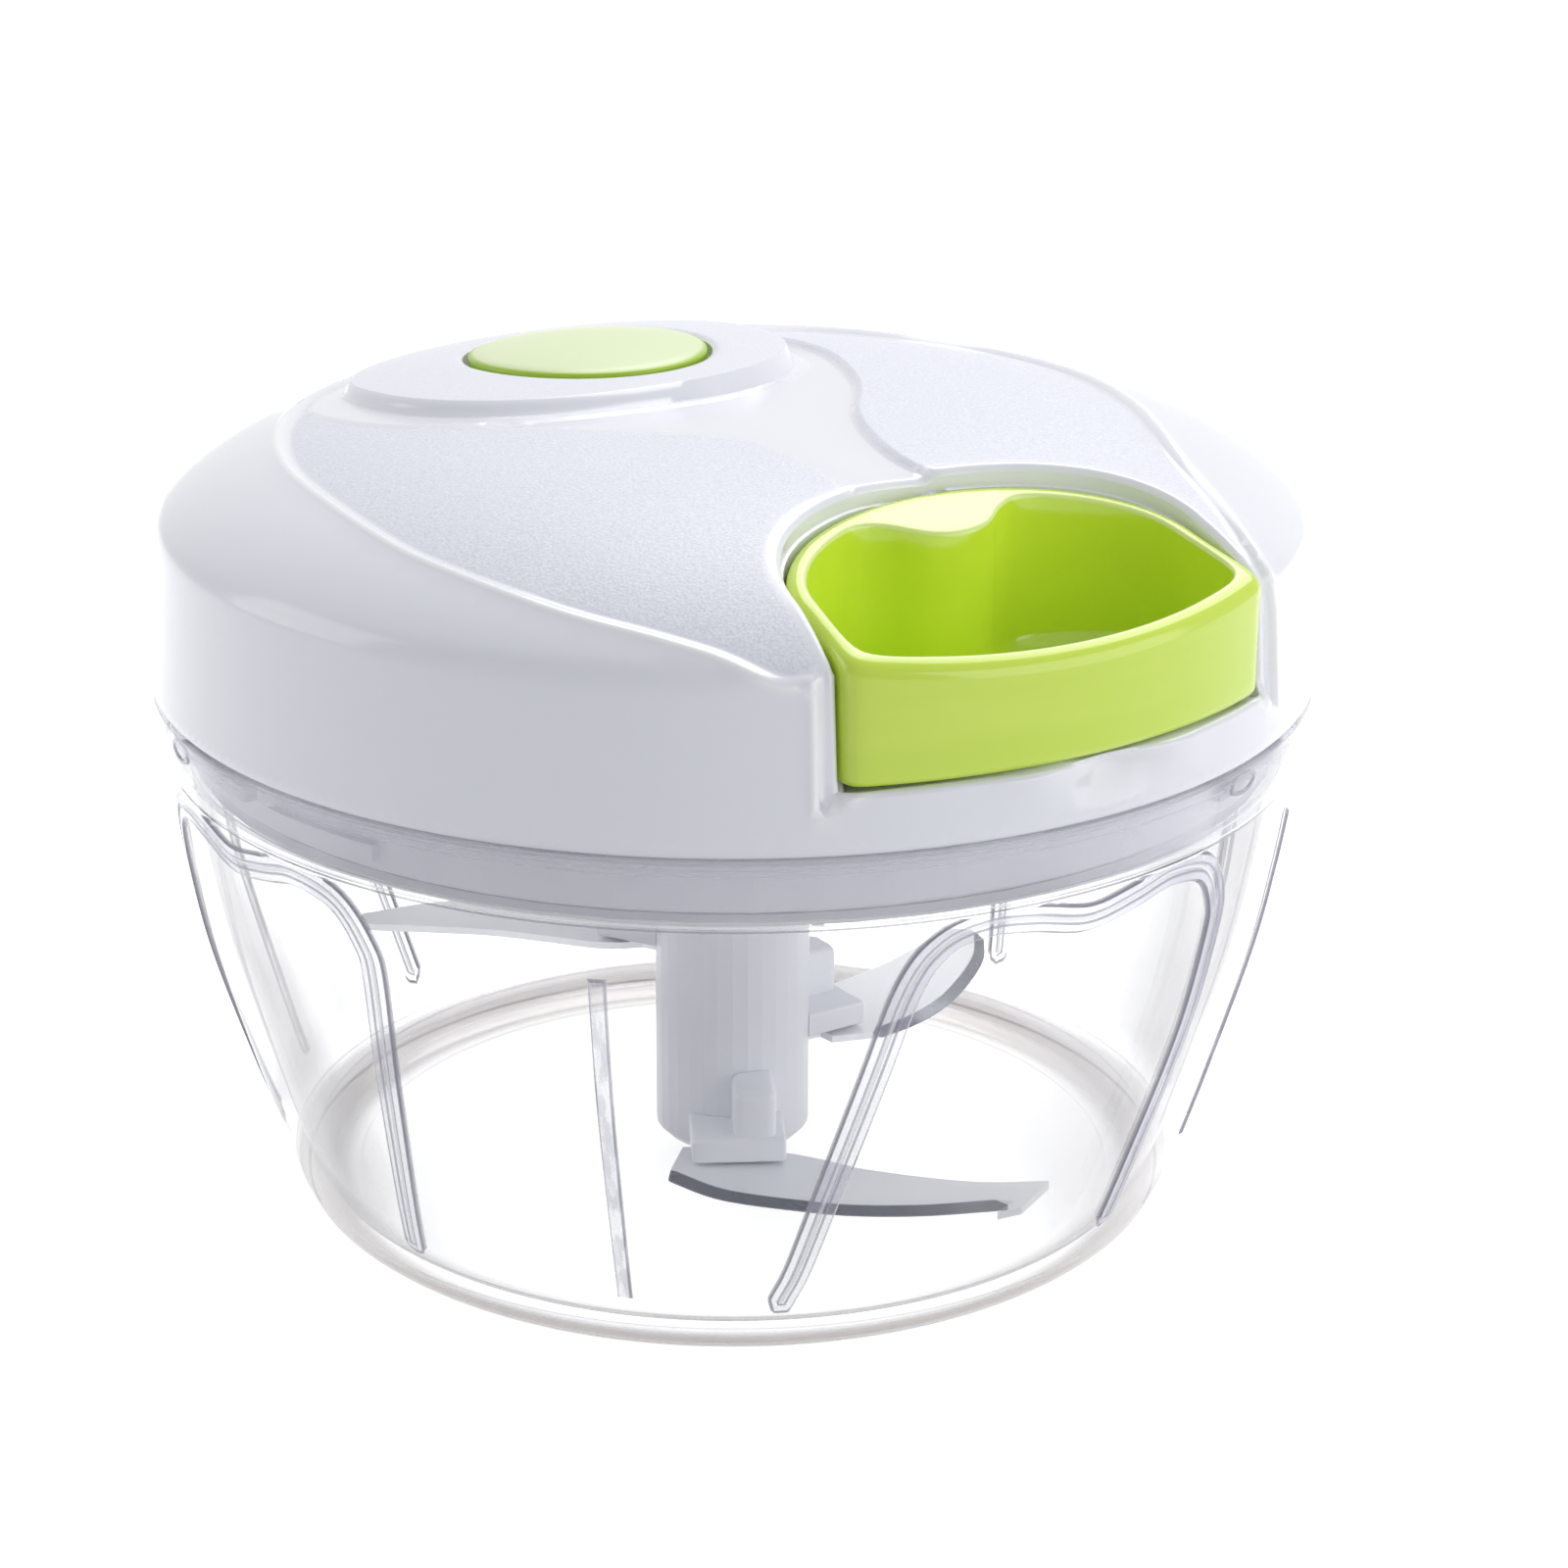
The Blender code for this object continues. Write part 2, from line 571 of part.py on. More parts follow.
def make_lid_cover(white, empty):
    outer_shares = (1.0, 0.985, 0.94, 0.86, 0.74, 0.58, 0.3)
    shell = [(0.0, dome_height(0.0, -LID_WALL))]
    shell += dome_section(-LID_WALL, (0.5, 0.82, 0.95, 1.0))
    section = shell + [(SEAM_R - LID_WALL, SEAM_Z), (SEAM_R, SEAM_Z)]
    section += dome_section(0.0, outer_shares) + [(0.0, dome_height(0.0))]
    cover = new_object("lid_top_cover", lathe(section, BIG_STEPS), white, empty)

    core = prism(cup_outline(POCKET_GAP + POCKET_WALL), POCKET_Z - POCKET_WALL, BUTTON_TOP)
    for azimuth in LID_SCREW_AZ:
        place = at_azimuth(LID_SCREW_R, azimuth)
        cylinder(POST_R, BASE_TOP + GAP, BUTTON_TOP, 20, place[:2], core)
    cylinder(BUTTON_R + 2 * GAP + WELL_WALL, WELL_Z - WELL_T, BUTTON_TOP, 40, BUTTON_AT, core)
    core_obj = cutter("cover_inner_parts", core)
    combine(core_obj, cutter("cover_core_limit", dome_solid(-LID_WALL / 2, SEAM_Z - 8 * MM)), "INTERSECT")
    combine(cover, core_obj, "UNION")

    pad = []
    for i in range(36):
        angle = 2 * math.pi * i / 36
        reach = (abs(math.cos(angle)) ** PAD_POWER + abs(math.sin(angle)) ** PAD_POWER) ** (-1 / PAD_POWER)
        pad.append((PAD_AT[0] + PAD_HALF[0] * reach * math.cos(angle),
                    PAD_AT[1] + PAD_HALF[1] * reach * math.sin(angle)))
    pad_obj = cutter("cover_pad", prism(pad, SIDE_TOP_Z, BUTTON_TOP))
    combine(pad_obj, cutter("cover_pad_limit", dome_solid(PAD_PROUD, SEAM_Z)), "INTERSECT")
    combine(pad_obj, cutter("cover_pad_under", dome_solid(-LID_WALL / 2, SEAM_Z)), "DIFFERENCE")
    combine(cover, pad_obj, "UNION")

    arch = cup_outline(POCKET_GAP)[:21]
    corner = at_azimuth(CUP_FRONT_R, CUP_FRONT_SPAN)
    side = corner.x + 1.4 * POCKET_GAP
    mouth = side + POCKET_FLARE
    ahead = -SEAM_R - 10 * MM
    pocket = arch + [(-side, corner.y), (-mouth, ahead), (mouth, ahead), (side, corner.y)]
    cuts = prism(pocket, POCKET_Z, BUTTON_TOP + 5 * MM)
    cylinder(BUTTON_R + 2 * GAP, WELL_Z, BUTTON_TOP + 5 * MM, 40, BUTTON_AT, cuts)
    for azimuth in LID_SCREW_AZ:
        place = at_azimuth(LID_SCREW_R, azimuth)
        cylinder(SCREW_R + GAP, BASE_TOP, BASE_TOP + GAP + SCREW_DEPTH, 16, place[:2], cuts)
    combine(cover, cutter("cover_cuts", cuts), "DIFFERENCE")
    stem = cylinder(STEM_R + GAP, WELL_Z - WELL_T - MM, WELL_Z + MM, 20, BUTTON_AT)
    eyelet_r = EYELET_BORE + EYELET_T + GAP
    near = POCKET_Y - MM
    far = POCKET_OUT_Y + MM
    section = [(0.0, near), (eyelet_r, near), (eyelet_r, far), (0.0, far)]
    eyelet = turned_on_y(section, CORD_Z, 20)
    combine(cover, cutter("cover_stem_hole", stem), "DIFFERENCE")
    combine(cover, cutter("cover_eyelet_hole", eyelet), "DIFFERENCE")


def turned_on_y(section, z, steps):
    """A turned solid about a line along Y at height z; the section is radius and y."""
    bm = lathe([(r, y) for r, y in section], steps)
    turn = Matrix(((1, 0, 0, 0), (0, 0, 1, 0), (0, -1, 0, z), (0, 0, 0, 1)))
    bmesh.ops.transform(bm, matrix=turn, verts=bm.verts)
    return bm


def make_eyelet(steel, empty):
    inner_y = POCKET_OUT_Y + GAP
    barrel_r = EYELET_BORE + EYELET_T
    collar_r = barrel_r + EYELET_T
    collar_y = inner_y + EYELET_COLLAR
    section = [(EYELET_BORE, POCKET_Y), (barrel_r, POCKET_Y), (barrel_r, inner_y), (collar_r, inner_y),
               (collar_r, collar_y), (EYELET_BORE, collar_y)]
    new_object("cord_eyelet", turned_on_y(section, CORD_Z, 20), steel, empty)


def make_handle(lime, empty):
    outer = cup_outline(0.0)
    handle = new_object("pull_handle", prism(outer, CUP_Z, None, top=rim_height), lime, empty)
    cavity = prism(cup_cavity_outline(), CUP_Z + CUP_FLOOR, BUTTON_TOP + 5 * MM)
    combine(handle, cutter("handle_cavity", cavity), "DIFFERENCE")
    room_back = HANDLE_BACK_Y - CUP_WALL + 0.3 * MM
    room_front = BOSS_Y + 1.2 * MM
    room = [(-KNOT_ROOM_HALF, room_front), (KNOT_ROOM_HALF, room_front),
            (KNOT_ROOM_HALF, room_back), (-KNOT_ROOM_HALF, room_back)]
    combine(handle, cutter("handle_knot_room", prism(room, CUP_Z - MM, CUP_Z + KNOT_ROOM_H)), "DIFFERENCE")
    hole = turned_on_y([(0.0, room_back - MM), (CORD_R + GAP, room_back - MM),
                        (CORD_R + GAP, HANDLE_BACK_Y + MM), (0.0, HANDLE_BACK_Y + MM)], CORD_Z, 16)
    combine(handle, cutter("handle_cord_hole", hole), "DIFFERENCE")
    return room_front, room_back


def make_knot(cord, empty, room_front, room_back):
    radius = (room_back - room_front) / 2 - GAP
    middle = (room_back + room_front) / 2
    section = [(0.0, middle - radius)]
    for i in range(1, 8):
        angle = math.pi * i / 8
        section.append((radius * math.sin(angle), middle - radius * math.cos(angle)))
    section.append((0.0, middle + radius))
    new_object("cord_knot", turned_on_y(section, CORD_Z, 16), cord, empty)


def winding_points():
    """The cord's single layer on the drum, from where the lead meets it down to its lower end."""
    around = DRUM_R + GAP + CORD_R
    bend = Vector((0.0, POCKET_OUT_Y + GAP + 0.7 * MM, CORD_Z))
    turn = math.acos(around / abs(bend.y))
    start = math.degrees(turn)
    count = CORD_LOOPS * 24
    points = []
    for i in range(count + 1):
        share = i / 24
        points.append(at_azimuth(around, start + 360 * share, CORD_Z - CORD_STEP * share))
    return bend, points


def least_self_gap(points, radius, skip):
    least = 1.0
    for i, a in enumerate(points):
        for b in points[i + skip:]:
            least = min(least, (a - b).length - 2 * radius)
    return least


def make_cord(cord, lead_empty, reel_empty, room_back):
    bend, winding = winding_points()
    tube("pull_cord_winding", winding, CORD_R, cord, reel_empty)
    print(f"cord winding: least gap to itself {1000 * least_self_gap(winding, CORD_R, 12):.2f} mm")
    top = winding[0]
    run = (bend - top).normalized()
    end = top + run * (GAP + 0.1 * MM)
    straight = [Vector((0.0, y, CORD_Z)) for y in
                (room_back - GAP, HANDLE_BACK_Y - 0.8 * MM, HANDLE_BACK_Y + GAP, POCKET_Y + 0.2 * MM,
                 POCKET_OUT_Y - 0.2 * MM, POCKET_OUT_Y + 0.4 * MM)]
    soft = [straight[-1].lerp(bend, t).lerp(bend.lerp(bend - run * 1.4 * MM, t), t) for t in (0.5, 1.0)]
    far = soft[-1]
    rest = [far.lerp(end, i / 6) for i in range(1, 7)]
    tube("pull_cord_lead", straight + soft + rest, CORD_R, cord, lead_empty)
    print(f"cord lead: {1000 * sum((b - a).length for a, b in zip(straight, straight[1:])):.1f} mm straight")


def make_reel(white, empty):
    inner = SKIRT_R - SKIRT_T
    skirt_z = HUB_Z + GAP
    section = [(BORE_R, REEL_Z), (inner, REEL_Z), (inner, skirt_z), (SKIRT_R, skirt_z), (SKIRT_R, REEL_Z),
               (FLANGE_R, REEL_Z), (FLANGE_R, DRUM_Z), (DRUM_R, DRUM_Z), (DRUM_R, DRUM_TOP),
               (SPIGOT_R, DRUM_TOP), (SPIGOT_R, TOP_FLANGE_TOP + GAP), (BORE_R, TOP_FLANGE_TOP + GAP)]
    reel = new_object("cord_reel", lathe(section, INNER_STEPS), white, empty)
    holes = bmesh.new()
    for azimuth in (0.0, 180.0):
        place = at_azimuth(PAWL_AT_R, azimuth)
        cylinder(PAWL_PIN_R + GAP, REEL_Z - MM, REEL_Z + MM, 12, place[:2], holes)
    combine(reel, cutter("reel_pin_holes", holes), "DIFFERENCE")
    flange = [(SPIGOT_R + GAP, TOP_FLANGE_Z), (FLANGE_R, TOP_FLANGE_Z), (FLANGE_R, TOP_FLANGE_TOP),
              (SPIGOT_R + GAP, TOP_FLANGE_TOP)]
    new_object("reel_top_flange", lathe(flange, INNER_STEPS), white, empty)


def make_pawls(nylon, steel, reel_empty, pawl_empties):
    tip = math.radians(PAWL_TIP_SPAN)
    face_r = PAWL_TIP_R - 1.5 * MM
    body = [(PAWL_TIP_R * math.cos(tip), -PAWL_TIP_R * math.sin(tip)),
            (PAWL_AT_R + PAWL_BODY_R, 0.4 * MM)]
    for degrees in (50, 90, 130, 170, 210):
        angle = math.radians(degrees)
        body.append((PAWL_AT_R + PAWL_BODY_R * math.cos(angle), PAWL_BODY_R * math.sin(angle)))
    body.append((face_r * math.cos(tip), -face_r * math.sin(tip)))
    z0 = HUB_FLOOR_TOP + GAP
    z1 = REEL_Z - GAP
    for name, azimuth in (("a", 0.0), ("b", 180.0)):
        place = at_azimuth(PAWL_AT_R, azimuth)
        pawl = new_object(f"pawl_{name}", prism(turned(body, azimuth), z0, z1), nylon, pawl_empties[name])
        hole = cylinder(PAWL_PIN_R + GAP, z0 - MM, z1 + MM, 12, place[:2])
        combine(pawl, cutter(f"pawl_{name}_hole", hole), "DIFFERENCE")
        pin = cylinder(PAWL_PIN_R, z0 + 0.2 * MM, REEL_Z + 0.7 * MM, 12, place[:2])
        new_object(f"pawl_pin_{name}", pin, steel, reel_empty)


def make_drive_hub(nylon, empty):
    stub_end = BASE_Z - STUB_LEN
    shoulder_z = BASE_Z - 2 * GAP
    wall_r = VALLEY_R + RATCHET_SINK
    section = [(BORE_R, stub_end), (STUB_R, stub_end), (STUB_R, shoulder_z), (STUB_BEARING_R, shoulder_z),
               (STUB_BEARING_R, HUB_Z), (RATCHET_R, HUB_Z), (RATCHET_R, RATCHET_TOP), (wall_r, RATCHET_TOP),
               (wall_r, HUB_FLOOR_TOP), (BORE_R, HUB_FLOOR_TOP)]
    hub = new_object("drive_hub", lathe(section, 28), nylon, empty)
    face = -PAWL_TIP_SPAN - PAWL_CLEAR_SPAN
    outer = []
    inner = []
    for i in range(TEETH):
        start = face + 360 * i / TEETH
        for offset, radius in ((0.0, VALLEY_R - TOOTH_H), (0.6, VALLEY_R), (11.0, VALLEY_R - TOOTH_H / 2)):
            outer.append(tuple(at_azimuth(VALLEY_R + 1.5 * RATCHET_SINK, start + offset)[:2]))
            inner.append(tuple(at_azimuth(radius, start + offset)[:2]))
    teeth = ring_prism(outer, inner, HUB_FLOOR_TOP - 0.4 * MM, RATCHET_TOP - 0.2 * MM)
    combine(hub, cutter("hub_teeth", teeth), "UNION")
    dogs = bmesh.new()
    for azimuth in (0.0, 180.0):
        sector(STUB_R - 0.6 * MM, STUB_BEARING_R - 0.1 * MM, azimuth, DOG_SPAN,
               BASE_Z - STUB_LEN + 0.5 * MM, BASE_Z - 0.3 * MM, 4, dogs)
    combine(hub, cutter("hub_dogs", dogs), "UNION")


def make_drive_bush(brass, empty):
    inner = STUB_BEARING_R + RUN
    outer = inner + BUSH_WALL
    section = [(inner, BASE_Z), (outer, BASE_Z), (outer, BASE_TOP), (inner, BASE_TOP)]
    new_object("drive_bush", lathe(section, SMALL_STEPS), brass, empty)


def make_axle(steel, empty):
    head_z = COVER_TOP + GAP
    section = [(0.0, BASE_Z - STUB_LEN + 2 * MM), (AXLE_R, BASE_Z - STUB_LEN + 2 * MM), (AXLE_R, head_z),
               (AXLE_HEAD_R, head_z), (AXLE_HEAD_R, head_z + AXLE_HEAD_H), (0.0, head_z + AXLE_HEAD_H)]
    new_object("centre_axle", lathe(section, 20), steel, empty)


def make_housing(grey, empty):
    inner = HOUSING_R - HOUSING_WALL
    z0 = BASE_TOP + GAP
    z1 = COVER_Z - GAP
    section = [(inner, z0), (HOUSING_R, z0), (HOUSING_R, z1), (inner, z1)]
    housing = new_object("reel_housing", lathe(section, INNER_STEPS), grey, empty)
    ears = bmesh.new()
    holes = bmesh.new()
    ear_z = ear_height()
    for azimuth in HOUSING_SCREW_AZ:
        ear = [(inner + 0.5 * MM, -EAR_HALF), (EAR_R, -EAR_HALF)]
        for degrees in (-60, -30, 0, 30, 60):
            angle = math.radians(degrees)
            ear.append((EAR_R + EAR_HALF * math.cos(angle), EAR_HALF * math.sin(angle)))
        ear += [(EAR_R, EAR_HALF), (inner + 0.5 * MM, EAR_HALF)]
        prism(turned(ear, azimuth), ear_z, ear_z + EAR_T, ears)
        place = at_azimuth(EAR_R, azimuth)
        cylinder(SCREW_R + GAP, ear_z - MM, ear_z + EAR_T + MM, 16, place[:2], holes)
    slot = [(-3.5 * MM, -HOUSING_R - MM), (3.5 * MM, -HOUSING_R - MM),
            (3.5 * MM, -inner + 2 * MM), (-3.5 * MM, -inner + 2 * MM)]
    prism(slot, DRUM_Z, DRUM_TOP, holes)
    combine(housing, cutter("housing_ears", ears), "UNION")
    combine(housing, cutter("housing_holes", holes), "DIFFERENCE")
    boss_z = TOP_FLANGE_TOP + 2 * GAP
    boss_r = BORE_R + COVER_BOSS_WALL
    plate = [(BORE_R, boss_z), (boss_r, boss_z), (boss_r, COVER_Z), (HOUSING_R, COVER_Z),
             (HOUSING_R, COVER_TOP), (BORE_R, COVER_TOP)]
    cover = new_object("housing_cover", lathe(plate, INNER_STEPS), grey, empty)
    hole_r = max(BRAKE_R, CLIP_R) + GAP + BRAKE_ROOM
    hole = cylinder(hole_r, COVER_Z - MM, COVER_TOP + MM, 24, BUTTON_AT)
    combine(cover, cutter("housing_cover_hole", hole), "DIFFERENCE")
    for i, azimuth in enumerate(HOUSING_SCREW_AZ):
        place = at_azimuth(EAR_R, azimuth)
        head_z = ear_z + EAR_T + GAP
        make_screw(f"housing_screw_{i + 1}", place, head_z, -1, SCREW_DEPTH * 0.6, grey, empty)


def make_screw(name, place, head_z, way, depth, material, empty):
    """A round headed screw. way is -1 where it goes down from its head, 1 where it goes up."""
    top = head_z - way * HEAD_H
    tip = head_z + way * depth
    section = [(0.0, tip), (SCREW_R * 0.6, tip), (SCREW_R, tip - way * SCREW_POINT), (SCREW_R, head_z),
               (HEAD_R, head_z), (HEAD_R, head_z - way * HEAD_H * 0.5), (HEAD_R * 0.7, top), (0.0, top)]
    new_object(name, lathe(section, 12, place[:2]), material, empty)


def make_lid_screws(steel, empty):
    for i, azimuth in enumerate(LID_SCREW_AZ):
        place = at_azimuth(LID_SCREW_R, azimuth)
        depth = BASE_T + 2 * GAP + SCREW_DEPTH * 0.8
        make_screw(f"lid_screw_{i + 1}", place, BASE_Z - GAP, 1, depth, steel, empty)


def make_rewind_spring(steel, empty):
    inner = SKIRT_R + GAP + 0.3 * MM
    outer = HOUSING_R - HOUSING_WALL - GAP - SPRING_STRIP
    count = SPRING_TURNS * 16
    side_in = []
    side_out = []
    for i in range(count + 1):
        radius = inner + (outer - inner) * i / count
        degrees = 360 * SPRING_TURNS * i / count
        side_in.append(tuple(at_azimuth(radius, degrees)[:2]))
        side_out.append(tuple(at_azimuth(radius + SPRING_STRIP, degrees)[:2]))
    gap = (outer - inner) / SPRING_TURNS - SPRING_STRIP
    print(f"rewind spring: gap between turns {1000 * gap:.2f} mm")
    bm = bmesh.new()
    z0 = HUB_Z + 0.3 * MM
    rows = []
    for line, z in ((side_in, z0), (side_out, z0), (side_out, z0 + SPRING_H), (side_in, z0 + SPRING_H)):
        rows.append([bm.verts.new((x, y, z)) for x, y in line])
    for row, following in zip(rows, rows[1:] + rows[:1]):
        for i in range(count):
            bm.faces.new((row[i], row[i + 1], following[i + 1], following[i]))
    for end in (0, count):
        bm.faces.new([row[end] for row in rows])
    new_object("rewind_spring", bm, steel, empty)


def make_button(pale, rubber, steel, empty, spring_empty):
    edge_z = BUTTON_TOP - BUTTON_CROWN
    skirt_r = BUTTON_R - BUTTON_SKIRT_WALL
    groove_r = STEM_R - CLIP_GROOVE
    crown = []
    for i in range(5):
        share = 1 - i / 4
        crown.append((BUTTON_R * share, edge_z + BUTTON_CROWN * (1 - share * share)))
    stem_end = BRAKE_Z + BRAKE_T + GAP
    groove_z = WELL_Z - WELL_T - GAP
    under = edge_z + BUTTON_CROWN - BUTTON_T
    groove_low = groove_z - CLIP_T - GAP
    section = [(0.0, stem_end), (STEM_R, stem_end), (STEM_R, groove_low), (groove_r, groove_low),
               (groove_r, groove_z + GAP), (STEM_R, groove_z + GAP), (STEM_R, under), (BUTTON_R * 0.5, under),
               (skirt_r, edge_z - BUTTON_T * 0.6), (skirt_r, CAP_Z), (BUTTON_R, CAP_Z)]
    section += crown
    section[-1] = (0.0, BUTTON_TOP)
    new_object("brake_button", lathe(section, 28, BUTTON_AT), pale, empty)
    new_object("brake_pad", cylinder(BRAKE_R, BRAKE_Z, BRAKE_Z + BRAKE_T, 24, BUTTON_AT), rubber, empty)
    clip = sector(groove_r + GAP, CLIP_R, 0.0, 360 - CLIP_OPEN_SPAN, groove_z - CLIP_T, groove_z, 18)
    bmesh.ops.translate(clip, vec=(*BUTTON_AT, 0.0), verts=clip.verts)
    new_object("button_retaining_clip", clip, steel, empty)
    z0 = WELL_Z + GAP + COIL_WIRE_R
    z1 = under - 2 * GAP - COIL_WIRE_R
    turns = 2
    points = []
    for i in range(turns * 16 + 1):
        share = i / (turns * 16)
        radius = COIL_WIDE_R + (COIL_NARROW_R - COIL_WIDE_R) * share
        place = at_azimuth(radius, 360 * turns * share, z0 + (z1 - z0) * share)
        points.append(place + Vector((*BUTTON_AT, 0.0)))
    print(f"button spring: least gap to itself {1000 * least_self_gap(points, COIL_WIRE_R, 8):.2f} mm")
    tube("button_spring", points, COIL_WIRE_R, steel, spring_empty)


def make_shaft(white, nylon, empty):
    bush_r = PIN_R + RUN + FOOT_BUSH_WALL
    socket_z = SHAFT_TOP - STUB_LEN - 1.5 * MM
    socket_r = STUB_BEARING_R + RUN
    pin_bore = PIN_R + RUN
    bush_seat_z = SHAFT_Z + BUSH_LEN + GAP
    section = [(0.0, PIN_TOP + MM), (pin_bore, PIN_TOP + MM), (pin_bore, bush_seat_z),
               (bush_r + GAP, bush_seat_z), (bush_r + GAP, SHAFT_Z), (SHAFT_R - SHAFT_CHAMFER, SHAFT_Z),
               (SHAFT_R, SHAFT_Z + SHAFT_CHAMFER), (SHAFT_R, SHAFT_TOP),
               (socket_r, SHAFT_TOP), (socket_r, socket_z), (0.0, socket_z)]
    shaft = new_object("blade_shaft", lathe(section, 32), white, empty)
    ribs = bmesh.new()
    for azimuth in (90.0, 270.0):
        sector(STUB_R + RUN + 0.1 * MM, socket_r + 0.8 * MM, azimuth, DOG_SPAN, socket_z - 0.5 * MM,
               SHAFT_TOP - 1.0 * MM, 4, ribs)
    combine(shaft, cutter("shaft_ribs", ribs), "UNION")
    slots = bmesh.new()
    half = BLADE_TONGUE + GAP
    root = BLADE_ROOT - GAP
    end = SHAFT_R + MM
    for i, level in enumerate(BLADE_LEVELS):
        plan = [(root, -half), (end, -half), (end, half), (root, half)]
        prism(turned(plan, BLADE_AZ + 120 * i), level - GAP, level + BLADE_T + GAP, slots)
    combine(shaft, cutter("shaft_slots", slots), "DIFFERENCE")
    bush_top = SHAFT_Z + BUSH_LEN
    bush = [(pin_bore, SHAFT_Z), (bush_r, SHAFT_Z), (bush_r, bush_top), (pin_bore, bush_top)]
    new_object("shaft_bush", lathe(bush, 24), nylon, empty)


def blade_plan(edge, tip, back):
    """Plan of a blade along and across a radius: cutting edge, tip, back and the tongue in the shaft."""
    outside = SHAFT_R + MM
    tongue = [(outside, BLADE_TONGUE), (BLADE_ROOT, BLADE_TONGUE), (BLADE_ROOT, -BLADE_TONGUE),
              (outside, -BLADE_TONGUE)]
    return [*edge, *tip, *back, *tongue]


def make_blades(steel, white, empty):
    low_plan = blade_plan(LOW_BLADE_EDGE, LOW_BLADE_TIP, LOW_BLADE_BACK)
    high_plan = blade_plan(HIGH_BLADE_EDGE, HIGH_BLADE_TIP, HIGH_BLADE_BACK)
    kinds = (("lower", low_plan), ("middle", high_plan), ("upper", high_plan))
    for i, (name, plan) in enumerate(kinds):
        azimuth = BLADE_AZ + 120 * i
        z0 = BLADE_LEVELS[i]
        blade = prism(turned(plan, azimuth), z0, z0 + BLADE_T)
        new_object(f"{name}_blade", blade, steel, empty, smooth=False)
        clip_z = z0 + BLADE_T + GAP
        reach = SHAFT_R + CLIP_REACH
        slab = [(SHAFT_R - 2 * MM, -CLIP_HALF), (reach - MM, -CLIP_HALF), (reach, -CLIP_HALF + MM),
                (reach, CLIP_HALF - MM), (reach - MM, CLIP_HALF), (SHAFT_R - 2 * MM, CLIP_HALF)]
        clip = new_object(f"{name}_blade_clip", prism(turned(slab, azimuth), clip_z, clip_z + CLIP_SLAB_H),
                          white, empty)
        boss = bmesh.new()
        low_side = CLIP_BOSS_ASIDE - CLIP_BOSS_HALF
        high_side = CLIP_BOSS_ASIDE + CLIP_BOSS_HALF
        boss_end = SHAFT_R + CLIP_BOSS_REACH
        prism(turned([(SHAFT_R - MM, low_side), (boss_end, low_side), (boss_end, high_side),
                      (SHAFT_R - MM, high_side)], azimuth), clip_z + MM, clip_z + CLIP_BOSS_H, boss)
        bevel_tall_edges(boss, clip_z + CLIP_BOSS_H)
        combine(clip, cutter(f"{name}_clip_boss", boss), "UNION")
        round_cut = cylinder(SHAFT_R + GAP, clip_z - MM, clip_z + CLIP_BOSS_H + MM, 32)
        combine(clip, cutter(f"{name}_clip_seat", round_cut), "DIFFERENCE")


def bevel_tall_edges(bm, top_z):
    """Rounds the edges of a boss's top and its upright edges."""
    bm.edges.ensure_lookup_table()
    chosen = []
    for edge in bm.edges:
        a, b = edge.verts
        upright = abs(a.co.z - b.co.z) > 1e-6
        at_top = abs(a.co.z - top_z) < 1e-6 and abs(b.co.z - top_z) < 1e-6
        if upright or at_top:
            chosen.append(edge)
    bmesh.ops.bevel(bm, geom=chosen, offset=0.7 * MM, segments=2, profile=0.5, affect="EDGES")


def build():
    clear_scene()
    clear = plastic("clear_styrene", (0.86, 0.87, 0.9), 0.05, 0.0, 0.25)
    white = plastic("white_abs", (0.86, 0.87, 0.92), 0.3)
    lime = plastic("lime_abs", (0.5, 0.78, 0.06), 0.2)
    pale = plastic("pale_lime_abs", (0.66, 0.85, 0.42), 0.3)
    steel = plastic("steel", (0.62, 0.63, 0.65), 0.25, 1.0)
    brass = plastic("brass", (0.78, 0.6, 0.3), 0.35, 1.0)
    nylon = plastic("nylon", (0.82, 0.82, 0.8), 0.5)
    grey = plastic("grey_abs", (0.45, 0.46, 0.48), 0.5)
    silicone = plastic("silicone", (0.85, 0.86, 0.88), 0.6)
    rubber = plastic("rubber", (0.08, 0.08, 0.08), 0.8)
    cord = plastic("cord", (0.85, 0.85, 0.83), 0.8)

    lid_empty = joint_empty("lid_axis")
    reel_empty = joint_empty("reel_axis")
    drive_empty = joint_empty("drive_axis")
    blade_empty = joint_empty("blade_axis")
    handle_empty = joint_empty("handle_line", (0.0, 0.0, CORD_Z))
    button_empty = joint_empty("button_line", (*BUTTON_AT, 0.0))
    pawl_empties = {}
    for name, azimuth in (("a", 0.0), ("b", 180.0)):
        pawl_empties[name] = joint_empty(f"pawl_{name}_axis", at_azimuth(PAWL_AT_R, azimuth))
    bpy.context.view_layer.update()

    make_bowl(clear)
    make_bowl_pin(steel)
    make_seal(silicone, lid_empty)
    make_lid_base(white, lid_empty)
    make_lid_cover(white, lid_empty)
    make_eyelet(steel, lid_empty)
    make_drive_bush(brass, lid_empty)
    make_axle(steel, lid_empty)
    make_housing(grey, lid_empty)
    make_lid_screws(steel, lid_empty)
    make_rewind_spring(steel, lid_empty)
    room_front, room_back = make_handle(lime, handle_empty)
    make_knot(cord, handle_empty, room_front, room_back)
    make_cord(cord, handle_empty, reel_empty, room_back)
    make_reel(white, reel_empty)
    make_pawls(nylon, steel, reel_empty, pawl_empties)
    make_drive_hub(nylon, drive_empty)
    make_button(pale, rubber, steel, button_empty, button_empty)
    make_shaft(white, nylon, blade_empty)
    make_blades(steel, white, blade_empty)


build()
